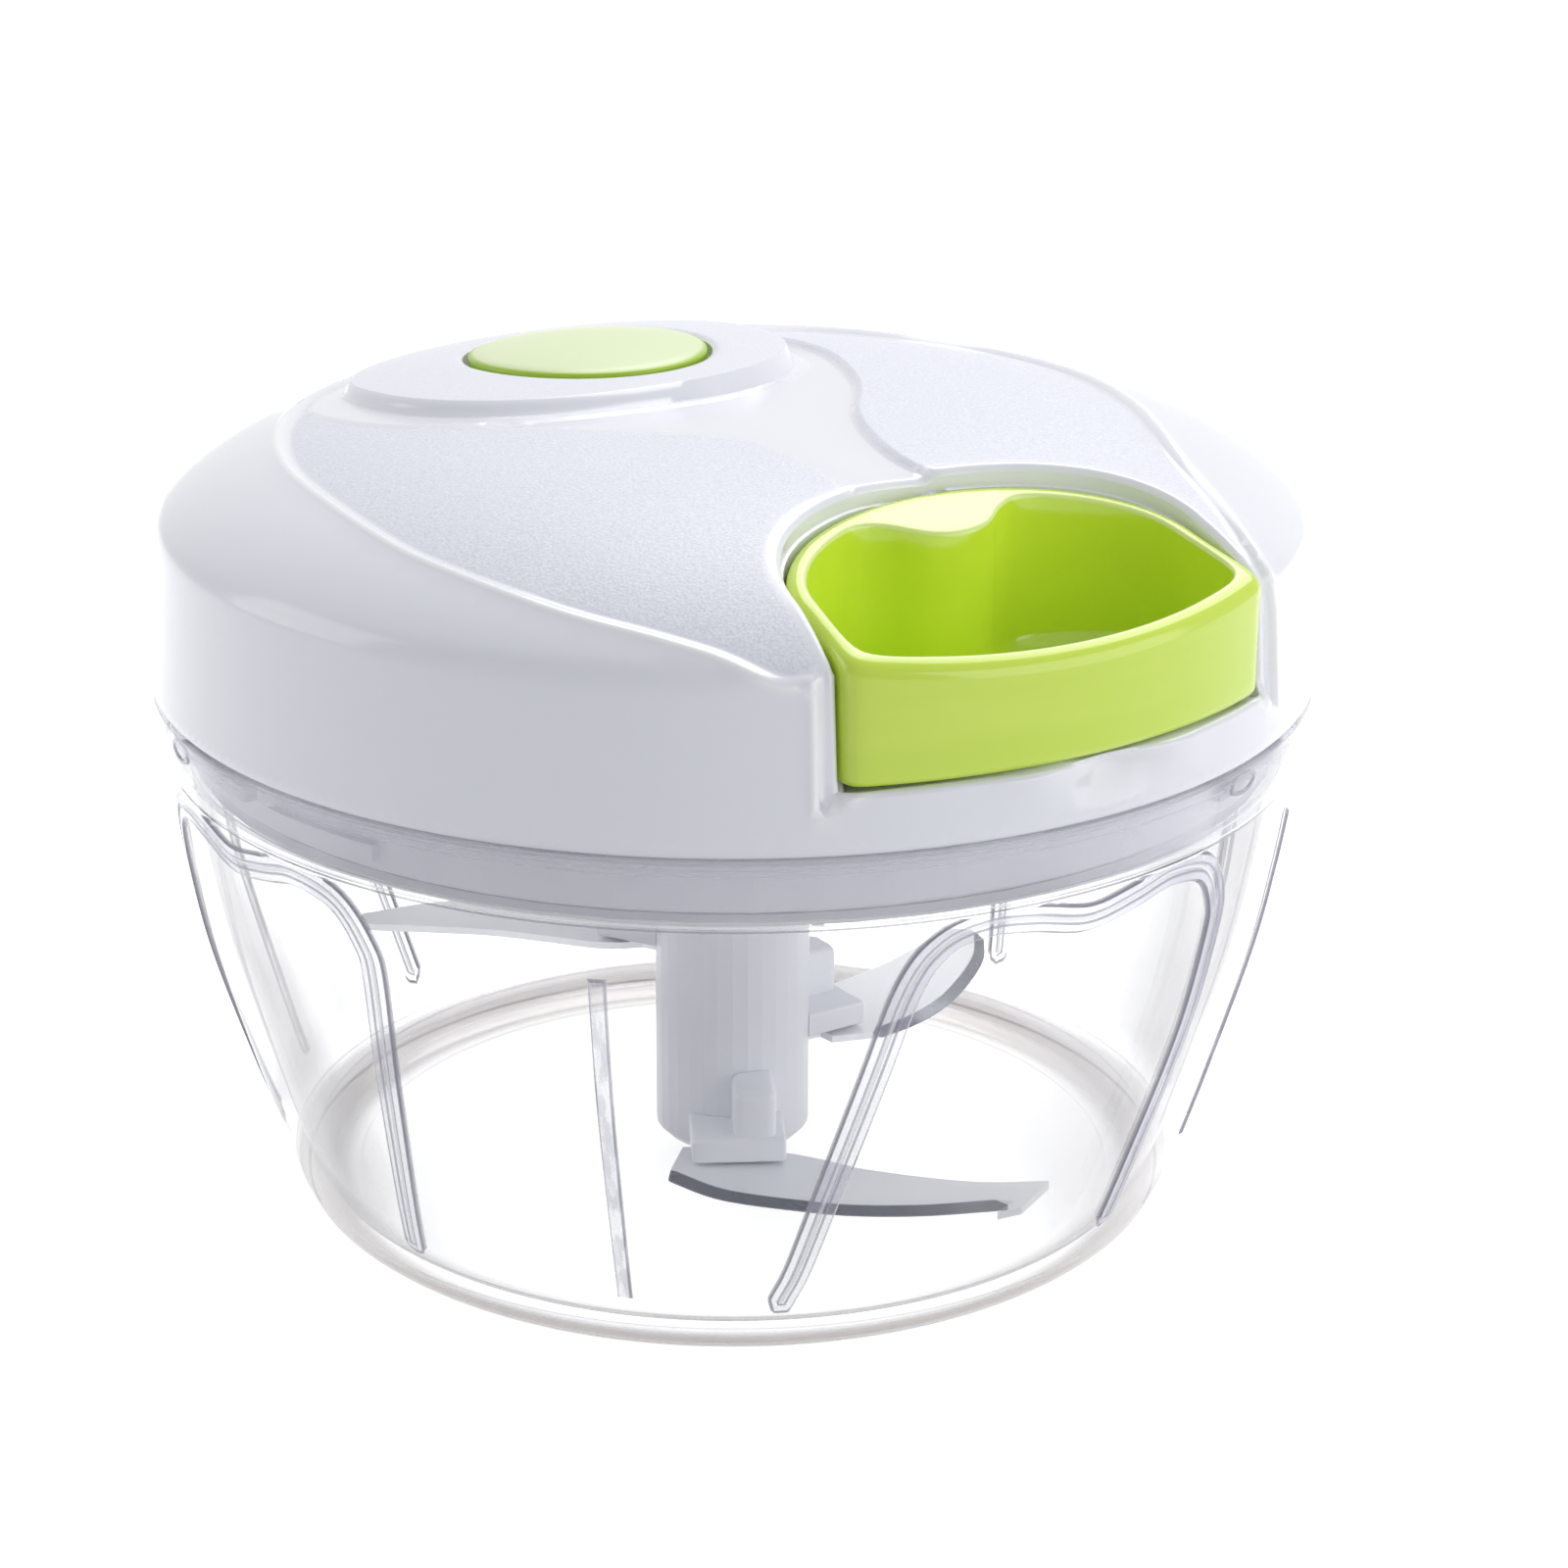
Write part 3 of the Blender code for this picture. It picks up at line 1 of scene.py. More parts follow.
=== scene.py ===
"""Looks of the pull cord food chopper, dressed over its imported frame.

Lengths are in millimetres until a mesh is made, which is in metres. Azimuths are degrees from -Y
towards +X, as in the part: the pull handle is at azimuth 0.
"""

import math

import bmesh
import bpy
import numpy as np
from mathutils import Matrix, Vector
from mathutils.geometry import delaunay_2d_cdt


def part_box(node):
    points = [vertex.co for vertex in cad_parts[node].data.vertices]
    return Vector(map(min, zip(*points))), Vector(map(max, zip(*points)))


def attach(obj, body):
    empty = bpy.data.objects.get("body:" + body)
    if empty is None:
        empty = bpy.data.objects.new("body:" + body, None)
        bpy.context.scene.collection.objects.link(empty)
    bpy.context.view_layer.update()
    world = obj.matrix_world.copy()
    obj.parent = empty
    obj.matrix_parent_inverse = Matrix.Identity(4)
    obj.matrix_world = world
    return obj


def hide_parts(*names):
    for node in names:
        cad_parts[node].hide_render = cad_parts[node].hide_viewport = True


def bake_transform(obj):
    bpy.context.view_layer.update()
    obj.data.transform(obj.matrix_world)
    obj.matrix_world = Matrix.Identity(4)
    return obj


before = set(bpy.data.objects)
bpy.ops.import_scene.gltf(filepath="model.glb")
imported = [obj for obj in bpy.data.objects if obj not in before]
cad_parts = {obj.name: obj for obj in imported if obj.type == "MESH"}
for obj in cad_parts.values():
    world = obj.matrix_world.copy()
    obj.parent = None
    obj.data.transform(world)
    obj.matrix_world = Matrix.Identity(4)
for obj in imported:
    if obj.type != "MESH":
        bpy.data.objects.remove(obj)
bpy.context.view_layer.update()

MM = 0.001
SHARP = 38.0
SAME_PLACE = 2e-6


def box_mm(node):
    """Lowest and highest corner of a CAD node, in millimetres."""
    low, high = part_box(node)
    return np.array(low) / MM, np.array(high) / MM


BUTTON_LOW, BUTTON_HIGH = box_mm("brake_button")
HANDLE_LOW, HANDLE_HIGH = box_mm("pull_handle")
SHAFT_R = box_mm("blade_shaft")[1][0]
RIM_Z = box_mm("bowl")[1][2]
EYELET_Y = box_mm("cord_eyelet")[0][1]

# Lid cover
LID_STEPS = 256
SEAM_R = box_mm("lid_top_cover")[1][0]
SEAM_GAP = 0.3
SEAM_Z = RIM_Z + SEAM_GAP
SIDE_DRAFT = 1.32
SIDE_R = SEAM_R - SIDE_DRAFT
SIDE_RISE = 17.3
SHOULDER_Z = SEAM_Z + SIDE_RISE
DOME_RISE = 11.2
DOME_POWER = 4.0
DOME_ROUND = 0.79
LID_SKIN = 1.5
LID_SHARP = 58.0
SEAM_ROUND = 0.45
PANEL_DEPTH = 0.6
STRIP_DEPTH = 0.75
STRIP_FADE_Y = (30.0, 47.0)
BORDER_RUN = 0.9
STEP_RUN = 0.9
BEAD_RISE = 0.24
BEAD_OFF = 0.35
BEAD_SPREAD = 0.38
PAD_PROUD = 1.1
PAD_AT = (-5.5, 23.7)
PAD_HALF = (25.5, 20.2)
PAD_POWER = 2.3
PAD_BEVEL = 1.1
LEDGE_AT = (-7.0, 23.7)
LEDGE_HALF = (28.2, 21.4)
LEDGE_RISE = 0.22
LEDGE_RUN = 0.6
WELL_GAP = 0.6
WELL_DEPTH = 4.2
WELL_DIP = 0.35
WELL_DIP_RUN = 0.7
WELL_FLOOR_DROP = 1.1
STEM_HOLE_R = 2.7
BUTTON_AT = (BUTTON_LOW[:2] + BUTTON_HIGH[:2]) / 2
BUTTON_R = (BUTTON_HIGH[0] - BUTTON_LOW[0]) / 2
BUTTON_CROWN = 0.35
BUTTON_EDGE_DROP = 0.3
CAP_HIGH = 3.0
CAP_SKIN = 1.4
CAP_ROUND = 0.45
SKIRT_WALL = 1.2
STEM_R = 2.4
GROOVE_R = 1.8
GROOVE_DROP = 3.7
GROOVE_HIGH = 1.2

# Pull handle and the opening it lies in
CUP_BACK_Y = HANDLE_HIGH[1]
CUP_HALF_X = 24.1
CUP_HALF_Y = 15.0
CUP_AT_Y = CUP_BACK_Y - CUP_HALF_Y
CUP_PROUD = 0.7
CUP_FRONT_R = SIDE_R + CUP_PROUD
CUP_FRONT_SPAN = 24.2
CUP_Z = HANDLE_LOW[2]
CUP_WALL = 2.0
CUP_FLOOR = 2.0
CUP_LOW_ROUND = 0.9
CUP_CORNER = 2.8
RIM_RISE = 10.6
RIM_FRONT_Z = CUP_Z + RIM_RISE
RIM_SLOPE = 0.3
RIM_OUT_ROUND = 1.35
RIM_IN_ROUND = 0.45
CAVITY_CORNER = 6.0
CAVITY_FLOOR_ROUND = 2.2
BOSS_HALF = 6.8
BOSS_DEPTH = 7.7
BOSS_FOOT_RUN = 3.6
KNOT_ROOM_HALF = 2.6
KNOT_ROOM_HIGH = 12.0
KNOT_ROOM_FRONT = 1.2
KNOT_ROOM_BACK = 0.3
OPENING_GAP = 0.5
SILL_GAP = 0.3
OPENING_Z = CUP_Z - SILL_GAP
SILL_ROLL = 0.4
FLANK_ROLL = 0.6
ARCH_ROLL = 0.7
SCOOP_AZ = 1.5
SCOOP_DEPTH = 1.7
SCOOP_SPREAD = 3.9
SWELL_OFF = 8.5
SWELL_SPREAD = 3.2
SWELL_SHARE = 0.22

# The lid's lines, as plan points on its dome
BORDER_LEFT = [(-27.5, -54.9), (-28.3, -54.3), (-30.6, -52.9), (-33.9, -48.7), (-37.5, -43.9),
               (-41.8, -37.4), (-44.8, -30.8), (-47.3, -22.7), (-48.6, -14.6), (-48.3, -2.5), (-46.2, 10.8),
               (-41.7, 22.4), (-35.0, 32.5)]
BORDER_BACK = [(-26.0, 40.5), (-15.0, 46.2), (-3.0, 48.6), (9.0, 47.0), (20.5, 41.0), (29.8, 30.8)]
BORDER_RIGHT = [(36.3, 18.6), (40.7, 8.8), (42.4, -2.0), (41.6, -10.0), (38.6, -19.5), (34.6, -28.0),
                (30.6, -36.7), (28.4, -44.8), (27.2, -51.0), (27.2, -54.8)]
LIP_LEFT_AZ = -26.5
LIP_RIGHT_AZ = 27.1
LIP_FOOT_Z = 64.2
PANEL_EDGE = [(-30.5, 12.5), (-28.1, 8.7), (-19.8, -0.1), (-14.3, -5.6), (-9.6, -10.7), (-7.4, -15.6),
              (-7.3, -22.8), (-8.1, -28.9), (-9.3, -34.3), (-11.9, -38.5)]
STEP_EDGE = [(2.2, -33.5), (1.9, -27.8), (4.1, -19.6), (8.8, -9.9), (15.9, -0.4), (20.8, 9.6), (23.3, 18.2),
             (23.0, 27.2), (19.6, 35.4), (12.5, 41.6), (3.0, 45.6)]
STRIP_FRONT = [(-11.0, -42.0), (2.2, -38.0)]
STRIP_BACK = [(-5.0, 30.0)]
LIP_TOP_Z = 73.5
GRAIN_EDGES = {"border": (0.4, 1.1), "panel": (-0.6, 0.6), "step": (-0.5, 0.5), "ledge": (-0.6, 0.0),
               "opening": (0.8, 2.0)}
PAD_GRAIN = 0.55
SCOOP_TOP = 0.4
SCOOP_FADE = (1.4, 1.6)
FIRST_RING = 1.8
RING_PITCH = 2.0
SHOULDER_PITCH = 1.25


# Node building


def add_node(tree, kind, values=None, **settings):
    """A new node's outputs; each of its inputs is given as a plain value or as the socket to link."""
    made = tree.nodes.new(kind)
    for key, value in settings.items():
        setattr(made, key, value)
    for key, value in (values or {}).items():
        if isinstance(value, bpy.types.NodeSocket):
            tree.links.new(value, made.inputs[key])
        else:
            made.inputs[key].default_value = value
    return made.outputs


class Wire:
    """A shader socket that takes part in Python arithmetic."""

    def __init__(self, paint, socket):
        self.paint = paint
        self.socket = socket

    def maths(self, operation, first, second=None):
        values = {0: first}
        if second is not None:
            values[1] = second
        return self.paint.node("ShaderNodeMath", {"operation": operation}, values)

    def __add__(self, other):
        return self.maths("ADD", self, other)

    def __sub__(self, other):
        return self.maths("SUBTRACT", self, other)

    def __rsub__(self, other):
        return self.maths("SUBTRACT", other, self)

    def __mul__(self, other):
        return self.maths("MULTIPLY", self, other)

    def __pow__(self, other):
        return self.maths("POWER", self, other)

    __radd__ = __add__
    __rmul__ = __mul__

    def stripe(self, middle, half, soft):
        """1 within half of a middle value, falling to 0 over soft on either side."""
        return self.maths("ABSOLUTE", self - middle).between(half + soft, half)

    def between(self, low, high):
        """Rises smoothly from 0 at low to 1 at high."""
        values = {"Value": self, "From Min": low, "From Max": high}
        return self.paint.node("ShaderNodeMapRange", {"interpolation_type": "SMOOTHSTEP"}, values)


class Paint:
    """One material and its node tree, with plain values on its Principled shader."""

    def __init__(self, name, **plain):
        self.material = bpy.data.materials.new(name)
        self.material.use_nodes = True
        self.tree = self.material.node_tree
        self.shader = self.tree.nodes["Principled BSDF"]
        for socket, value in plain.items():
            self.shader.inputs[socket.replace("_", " ")].default_value = value

    def node(self, kind, settings=None, values=None, output=0):
        made = self.tree.nodes.new(kind)
        for name, value in (settings or {}).items():
            setattr(made, name, value)
        for key, value in (values or {}).items():
            self.link(made.inputs[key], value)
        return Wire(self, made.outputs[output])

    def link(self, socket, value):
        if isinstance(value, Wire):
            self.tree.links.new(value.socket, socket)
        elif isinstance(value, tuple) and len(value) == 3 and socket.type == "RGBA":
            socket.default_value = (*value, 1.0)
        else:
            socket.default_value = value

    def place(self):
        return self.node("ShaderNodeTexCoord", output=3)

    def upright(self):
        """Height above the object's origin, in millimetres."""
        return self.node("ShaderNodeSeparateXYZ", None, {"Vector": self.place()}, 2) * 1000.0

    def reach(self):
        """Distance from the upright axis, in millimetres."""
        sides = [self.node("ShaderNodeSeparateXYZ", None, {"Vector": self.place()}, k) for k in (0, 1)]
        return (sides[0] * sides[0] + sides[1] * sides[1]) ** 0.5 * 1000.0

    def largest(self, *wires):
        result = wires[0]
        for wire in wires[1:]:
            result = result.maths("MAXIMUM", result, wire)
        return result

    def least(self, wire, limit):
        return wire.maths("MINIMUM", wire, limit)

    def stretched(self, scale, turn=(0.0, 0.0, 0.0)):
        values = {"Vector": self.place(), "Scale": scale, "Rotation": turn}
        return self.node("ShaderNodeMapping", None, values)

    def noise(self, scale, detail=2.0, roughness=0.5, vector=None):
        place = vector or self.place()
        values = {"Vector": place, "Scale": scale, "Detail": detail, "Roughness": roughness}
        return self.node("ShaderNodeTexNoise", None, values)

    def cells(self, scale):
        values = {"Vector": self.place(), "Scale": scale}
        return self.node("ShaderNodeTexVoronoi", {"feature": "F1"}, values)

    def attribute(self, name):
        return self.node("ShaderNodeAttribute", {"attribute_name": name}, output=2)

    def mix(self, share, first, second):
        made = self.tree.nodes.new("ShaderNodeMix")
        made.data_type = "RGBA"
        self.link(made.inputs["Factor"], share)
        self.link(made.inputs[6], first)
        self.link(made.inputs[7], second)
        return Wire(self, made.outputs[2])

    def facing(self, blend):
        return self.node("ShaderNodeLayerWeight", None, {"Blend": blend}, output=1)

    def feed(self, socket, value):
        self.link(self.shader.inputs[socket], value)

    def relief(self, height, strength, depth_mm):
        values = {"Strength": strength, "Distance": depth_mm * MM, "Height": height}
        self.feed("Normal", self.node("ShaderNodeBump", None, values))


def shell_white():
    """White ABS: glossy where it is smooth, fine spark grain on the two panels, and a painted highlight
    along the bead round them.
    """
    paint = Paint("white_shell", Specular_IOR_Level=0.5, Coat_Roughness=0.08, IOR=1.5)
    grain = paint.attribute("grain")
    spots = paint.noise(3300.0, 3.0, 0.6)
    drift = paint.noise(35.0, 2.0)
    plain = paint.mix(drift, (0.81, 0.82, 0.88), (0.85, 0.855, 0.90))
    rough = paint.mix(spots.between(0.3, 0.7), (0.70, 0.71, 0.80), (0.85, 0.86, 0.92))
    # Painted highlight: the bead's share mixes the base colour towards white.
    bead = paint.attribute("bead")
    paint.feed("Base Color", paint.mix(bead, paint.mix(grain, plain, rough), (0.97, 0.97, 0.98)))
    paint.feed("Roughness", 0.2 + grain * 0.22 + drift * 0.04)
    paint.feed("Coat Weight", (1 - grain) * 0.35)
    pits = paint.cells(2400.0) + spots * 0.8
    paint.relief(grain * pits + (1 - grain) * drift * 0.1, 0.42, 0.06)
    return paint.material


def shell_smooth(name, dark, light, roughness):
    """Smooth moulded plastic with a slight drift of tone and sheen."""
    paint = Paint(name, IOR=1.5)
    drift = paint.noise(60.0, 3.0)
    fine = paint.noise(900.0, 2.0)
    paint.feed("Base Color", paint.mix(drift.between(0.3, 0.7), dark, light))
    paint.feed("Roughness", roughness + fine * 0.06)
    paint.relief(fine, 0.05, 0.05)
    return paint.material


def lime_gloss():
    """Glossy lime ABS of the pull handle: deeper in the cup, paler along its rim where a highlight is
    painted, with faint flow lines.
    """
    paint = Paint("lime", IOR=1.5, Coat_Roughness=0.05)
    flow = paint.noise(14.0, 3.0, vector=paint.stretched((1.0, 1.0, 9.0)))
    drift = paint.noise(45.0, 2.0)
    deep = paint.attribute("depth")
    outside = paint.mix(flow.between(0.35, 0.65), (0.60, 0.79, 0.055), (0.65, 0.83, 0.075))
    body = paint.mix(deep, outside, (0.66, 0.84, 0.05))
    # Painted highlight: the rim's flat top and inner round are mixed towards pale lime.
    paint.feed("Base Color", paint.mix(paint.attribute("rim") * 0.35, body, (0.93, 0.97, 0.66)))
    paint.feed("Roughness", 0.14 + drift * 0.06)
    paint.feed("Coat Weight", 0.22 + flow * 0.1)
    paint.relief(flow, 0.08, 0.15)
    return paint.material


def button_lime():
    """Satin pale lime of the brake button, with painted shade that makes its skirt a darker green."""
    paint = Paint("pale_lime", IOR=1.5)
    skirt = paint.attribute("skirt")
    drift = paint.noise(70.0, 2.0)
    fine = paint.noise(1400.0, 2.0)
    top = paint.mix(drift, (0.72, 0.83, 0.48), (0.77, 0.86, 0.54))
    # Painted shade: the skirt's share darkens the base colour to a deep green.
    paint.feed("Base Color", paint.mix(skirt, top, (0.36, 0.56, 0.02)))
    paint.feed("Roughness", 0.30 + fine * 0.08)
    paint.relief(fine, 0.08, 0.04)
    return paint.material


def clear_styrene():
    """Clear bowl: nearly unseen face on, lavender grey at its edges and on its moulded lines, with painted
    dark lines and highlights along them and painted reflections on its sides.
    """
    paint = Paint("clear_bowl", IOR=1.5, Specular_IOR_Level=0.8, Coat_Weight=0.6, Coat_Roughness=0.02)
    edge = paint.facing(0.5)
    away = paint.attribute("arch")
    rib = paint.attribute("rib")
    height = paint.upright()
    drift = paint.noise(28.0, 3.0)
    streak = paint.noise(700.0, 2.0, 0.6, paint.stretched((1.0, 1.0, 0.12)))
    ribbon = away.between(ARCH_HALF + 0.1, ARCH_HALF - 0.1)
    flank = away.stripe(ARCH_HALF - 0.02, 0.1, 0.16)
    valley = away.stripe(0.45, 0.05, 0.14)
    in_rib = rib.between(0.12, -0.08)
    mark = paint.attribute("mark")
    ledge = height.stripe(LEDGE_Z - 0.3, 0.07, 0.12)
    seam = height.stripe(RIM_Z - 0.25, 0.08, 0.12)
    seam_low = height.stripe(RIM_Z - 1.5, 0.04, 0.1)
    foot_line = height.stripe(3.7, 0.06, 0.14)
    sole_line = height.stripe(1.1, 0.05, 0.12)
    # Painted shade: dark lines on the arch's flanks and valley, the ledge, seam, foot, rib and oval marks,
    # standing in for light bent by the clear plastic at these real edges.
    dark = paint.largest(flank * (0.55 + drift * 0.5), valley * 0.6, ledge * 0.85, seam * 0.5,
                         seam_low * 0.35, foot_line * 0.35, sole_line * 0.35,
                         rib.stripe(0.0, 0.07, 0.12) * 0.7, mark * 0.6)
    # Painted highlights: a white line above the ledge and along the arch's valley.
    painted_highlight = paint.largest(height.stripe(LEDGE_Z + 0.25, 0.1, 0.14), away.stripe(0.0, 0.1, 0.16) * 0.8)
    hazy = height.between(LEDGE_Z, LEDGE_Z + 0.4)
    foot = height.between(4.2, 2.4) * paint.reach().between(42.5, 45.0)
    # Painted reflection: warm grey bands on the bowl's sides where they are seen at a slant, above the
    # foot.
    reflection_bands = paint.noise(55.0, 2.0, 0.5, paint.stretched((1.0, 1.0, 0.3))).between(0.42, 0.6)
    side = edge.between(0.2, 0.7) * height.between(4.0, 9.0)
    wall = paint.mix(edge ** 4.0, (0.96, 0.96, 0.98), (0.48, 0.47, 0.57))
    wall = paint.mix(side * 0.8, wall, (0.66, 0.64, 0.64))
    tinted = paint.mix(paint.largest(ribbon, in_rib), wall, (0.57, 0.57, 0.70))
    tinted = paint.mix(hazy, tinted, (0.80, 0.80, 0.87))
    tinted = paint.mix(foot * 0.9, tinted, (0.50, 0.415, 0.375))
    tinted = paint.mix(painted_highlight, tinted, (0.97, 0.97, 0.98))
    # Base colour: the painted dark lines laid over the tinted wall.
    paint.feed("Base Color", paint.mix(dark, tinted, (0.17, 0.165, 0.23)))
    paint.feed("Roughness", 0.04 + drift * 0.03)
    paint.feed("Coat Weight", 0.6 - dark * 0.5)
    # Alpha: the wall shows where it is tinted and where the painted dark lines, highlights and reflections
    # are.
    shown = 0.02 + (edge ** 7.0) * 0.65 + ribbon * 0.3 + in_rib * (0.2 + streak.between(0.4, 0.6) * 0.3)
    shown = shown + hazy * 0.18 + foot * 0.5 + painted_highlight * 0.5 + dark * 0.8 + side * (0.1 + reflection_bands * 0.3)
    paint.feed("Alpha", paint.least(shown, 0.96))
    paint.relief(drift, 0.04, 0.5)
    return paint.material


def blade_steel():
    """Bright stamped blade steel, brushed along the blade, with a darker ground edge."""
    paint = Paint("blade_steel", IOR=2.5)
    brush = paint.noise(90.0, 4.0, 0.6, paint.stretched((1.0, 1.0, 14.0), (0.0, 0.0, 0.6)))
    ground = paint.attribute("from_edge").between(GRIND + 0.05, GRIND - 0.15)
    blot = paint.noise(140.0, 3.0)
    face = paint.mix(blot, (0.86, 0.87, 0.90), (0.92, 0.93, 0.95))
    paint.feed("Base Color", paint.mix(ground, face, (0.20, 0.21, 0.24)))
    paint.feed("Metallic", 0.3 + ground * 0.5)
    paint.feed("Roughness", 0.28 + brush * 0.14 - ground * 0.08)
    paint.relief(brush, 0.15, 0.05)
    return paint.material


def turned_metal(name, dark, light, roughness):
    """Turned steel or brass of pins, screws, springs and bushes, with fine rings."""
    paint = Paint(name, IOR=2.5, Metallic=1.0)
    rings = paint.noise(500.0, 2.0, 0.5, paint.stretched((0.15, 0.15, 3.0)))
    blot = paint.noise(200.0, 3.0)
    paint.feed("Base Color", paint.mix(blot, dark, light))
    paint.feed("Roughness", roughness + rings * 0.12)
    paint.relief(rings, 0.12, 0.03)
    return paint.material


def twisted_cord():
    """Off white braided nylon cord, its strands crossing round it."""
    paint = Paint("cord_braid", IOR=1.45)
    strands = paint.noise(1800.0, 2.0, 0.6, paint.stretched((1.0, 0.6, 1.0), (0.6, 0.0, 0.6)))
    paint.feed("Base Color", paint.mix(strands.between(0.35, 0.65), (0.55, 0.54, 0.50), (0.86, 0.85, 0.82)))
    paint.feed("Roughness", 0.7 + strands * 0.2)
    paint.relief(strands, 0.5, 0.15)
    return paint.material


# Mesh building


def smoothstep(low, high, value):
    """Smoothly from 0 at low to 1 at high."""
    share = np.clip((value - low) / (high - low), 0.0, 1.0)
    return share * share * (3.0 - 2.0 * share)


def ramp(low, high, value):
    """Straight from 0 to 1, its two corners slightly rounded."""
    share = np.clip((value - low) / (high - low), 0.0, 1.0)
    return 0.75 * share + 0.25 * share * share * (3.0 - 2.0 * share)


def around(radius, degrees):
    """The plan point at a radius and an azimuth."""
    angle = math.radians(degrees)
    return radius * math.sin(angle), -radius * math.cos(angle)


def object_of(name, bm, material):
    mesh = bpy.data.meshes.new(name)
    bm.to_mesh(mesh)
    bm.free()
    made = bpy.data.objects.new(name, mesh)
    bpy.context.scene.collection.objects.link(made)
    mesh.materials.append(material)
    return made


def piece(name, points, faces, material, sharp=SHARP):
    """An object from points in millimetres and faces that already point outwards."""
    mesh = bpy.data.meshes.new(name)
    mesh.from_pydata([tuple(float(c) * MM for c in p) for p in points], [], [tuple(f) for f in faces])
    mesh.validate()
    mesh.shade_smooth()
    mesh.set_sharp_from_angle(angle=math.radians(sharp))
    mesh.materials.append(material)
    made = bpy.data.objects.new(name, mesh)
    bpy.context.scene.collection.objects.link(made)
    return made


def plain_mesh(obj, sharp=SHARP):
    """Puts the result of an object's modifiers in its place."""
    bpy.context.view_layer.update()
    result = bpy.data.meshes.new_from_object(obj.evaluated_get(bpy.context.evaluated_depsgraph_get()))
    obj.modifiers.clear()
    obj.data = result
    result.shade_smooth()
    result.set_sharp_from_angle(angle=math.radians(sharp))
    return obj


def set_attribute(obj, name, values):
    """Keeps one number for each point of a mesh, for its material to read."""
    attribute = obj.data.attributes.new(name, "FLOAT", "POINT")
    attribute.data.foreach_set("value", np.asarray(values, np.float32))


def turned_rows(section, steps, centre=(0.0, 0.0)):
    """Points and faces of a turned shape. Its section runs up the outside, and has poles on the axis."""
    points = []
    rows = []
    for radius, z in section:
        if radius < 1e-6:
            rows.append([len(points)] * steps)
            points.append((centre[0], centre[1], z))
            continue
        rows.append(list(range(len(points), len(points) + steps)))
        for i in range(steps):
            x, y = around(radius, 360.0 * i / steps)
            points.append((centre[0] + x, centre[1] + y, z))
    faces = []
    for low, high in zip(rows, rows[1:]):
        for i in range(steps):
            j = (i + 1) % steps
            add_face(faces, [low[i], low[j], high[j], high[i]])
    return points, faces


def add_face(faces, corners):
    """Adds a face without the corners that repeat the one before them."""
    face = [c for k, c in enumerate(corners) if c != corners[k - 1]]
    if len(face) > 2:
        faces.append(face)


def rounded(section, steps=4):
    """An open section, with each corner that has a third value rounded over that reach."""
    result = []
    for i, corner in enumerate(section):
        if len(corner) < 3:
            result.append(tuple(corner))
            continue
        size = corner[2]
        here = np.array(corner[:2], float)
        before = np.array(section[i - 1][:2], float) - here
        after = np.array(section[i + 1][:2], float) - here
        reach = min(size, np.linalg.norm(before) * 0.48, np.linalg.norm(after) * 0.48)
        start = here + before / np.linalg.norm(before) * reach
        end = here + after / np.linalg.norm(after) * reach
        for k in range(steps + 1):
            t = k / steps
            result.append(tuple((1 - t) ** 2 * start + 2 * t * (1 - t) * here + t * t * end))
    return result


def curve_through(points, spacing):
    """Evenly spaced points on a smooth curve through the given ones."""
    given = np.array(points, float)
    given = np.vstack([2 * given[0] - given[1], given, 2 * given[-1] - given[-2]])
    dense = []
    for p0, p1, p2, p3 in zip(given, given[1:], given[2:], given[3:]):
        for t in np.linspace(0, 1, 24, endpoint=False):
            dense.append(0.5 * (2 * p1 + (p2 - p0) * t + (2 * p0 - 5 * p1 + 4 * p2 - p3) * t ** 2
                                + (3 * p1 - p0 - 3 * p2 + p3) * t ** 3))
    dense.append(given[-2])
    return evenly(np.array(dense), spacing)


def evenly(line, spacing, closed=False):
    """The same line with evenly spaced points; a closed line ends before its first point."""
    steps = np.linalg.norm(np.diff(line, axis=0), axis=1)
    run = np.concatenate([[0.0], np.cumsum(steps)])
    count = max(int(round(run[-1] / spacing)), 3)
    marks = np.linspace(0, run[-1], count + 1)
    if closed:
        marks = marks[:-1]
    return np.column_stack([np.interp(marks, run, line[:, k]) for k in range(line.shape[1])])


def side_step(line, distance, closed):
    """The line moved sideways, to the left of its run where distance is positive."""
    if closed:
        run = np.roll(line, -1, axis=0) - np.roll(line, 1, axis=0)
    else:
        run = np.gradient(line, axis=0)
    run = run / np.maximum(np.linalg.norm(run, axis=1, keepdims=True), 1e-9)
    return line + distance * np.column_stack([-run[:, 1], run[:, 0]])


def nearest(points, line, closed=False):
    """Distance from each point to a line, and the index of its nearest stretch."""
    ends = np.vstack([line, line[:1]]) if closed else line
    start = ends[:-1]
    run = ends[1:] - start
    length = np.maximum((run ** 2).sum(1), 1e-12)
    best = np.full(len(points), 1e9)
    index = np.zeros(len(points), int)
    for i in range(len(start)):
        t = np.clip(((points - start[i]) @ run[i]) / length[i], 0, 1)
        away = np.hypot(*(points - start[i] - t[:, None] * run[i]).T)
        closer = away < best
        best[closer] = away[closer]
        index[closer] = i
    return best, index


def inside(points, loop):
    """True for each point that lies in a closed loop."""
    odd = np.zeros(len(points), bool)
    for (x0, y0), (x1, y1) in zip(loop, np.roll(loop, -1, axis=0)):
        if y0 == y1:
            continue
        crosses = (points[:, 1] > min(y0, y1)) & (points[:, 1] <= max(y0, y1))
        at_x = x0 + (points[:, 1] - y0) * (x1 - x0) / (y1 - y0)
        odd ^= crosses & (points[:, 0] < at_x)
    return odd


def signed(points, loop):
    """Distance to a closed loop, positive inside it."""
    away, _ = nearest(points, loop, True)
    return np.where(inside(points, loop), away, -away)


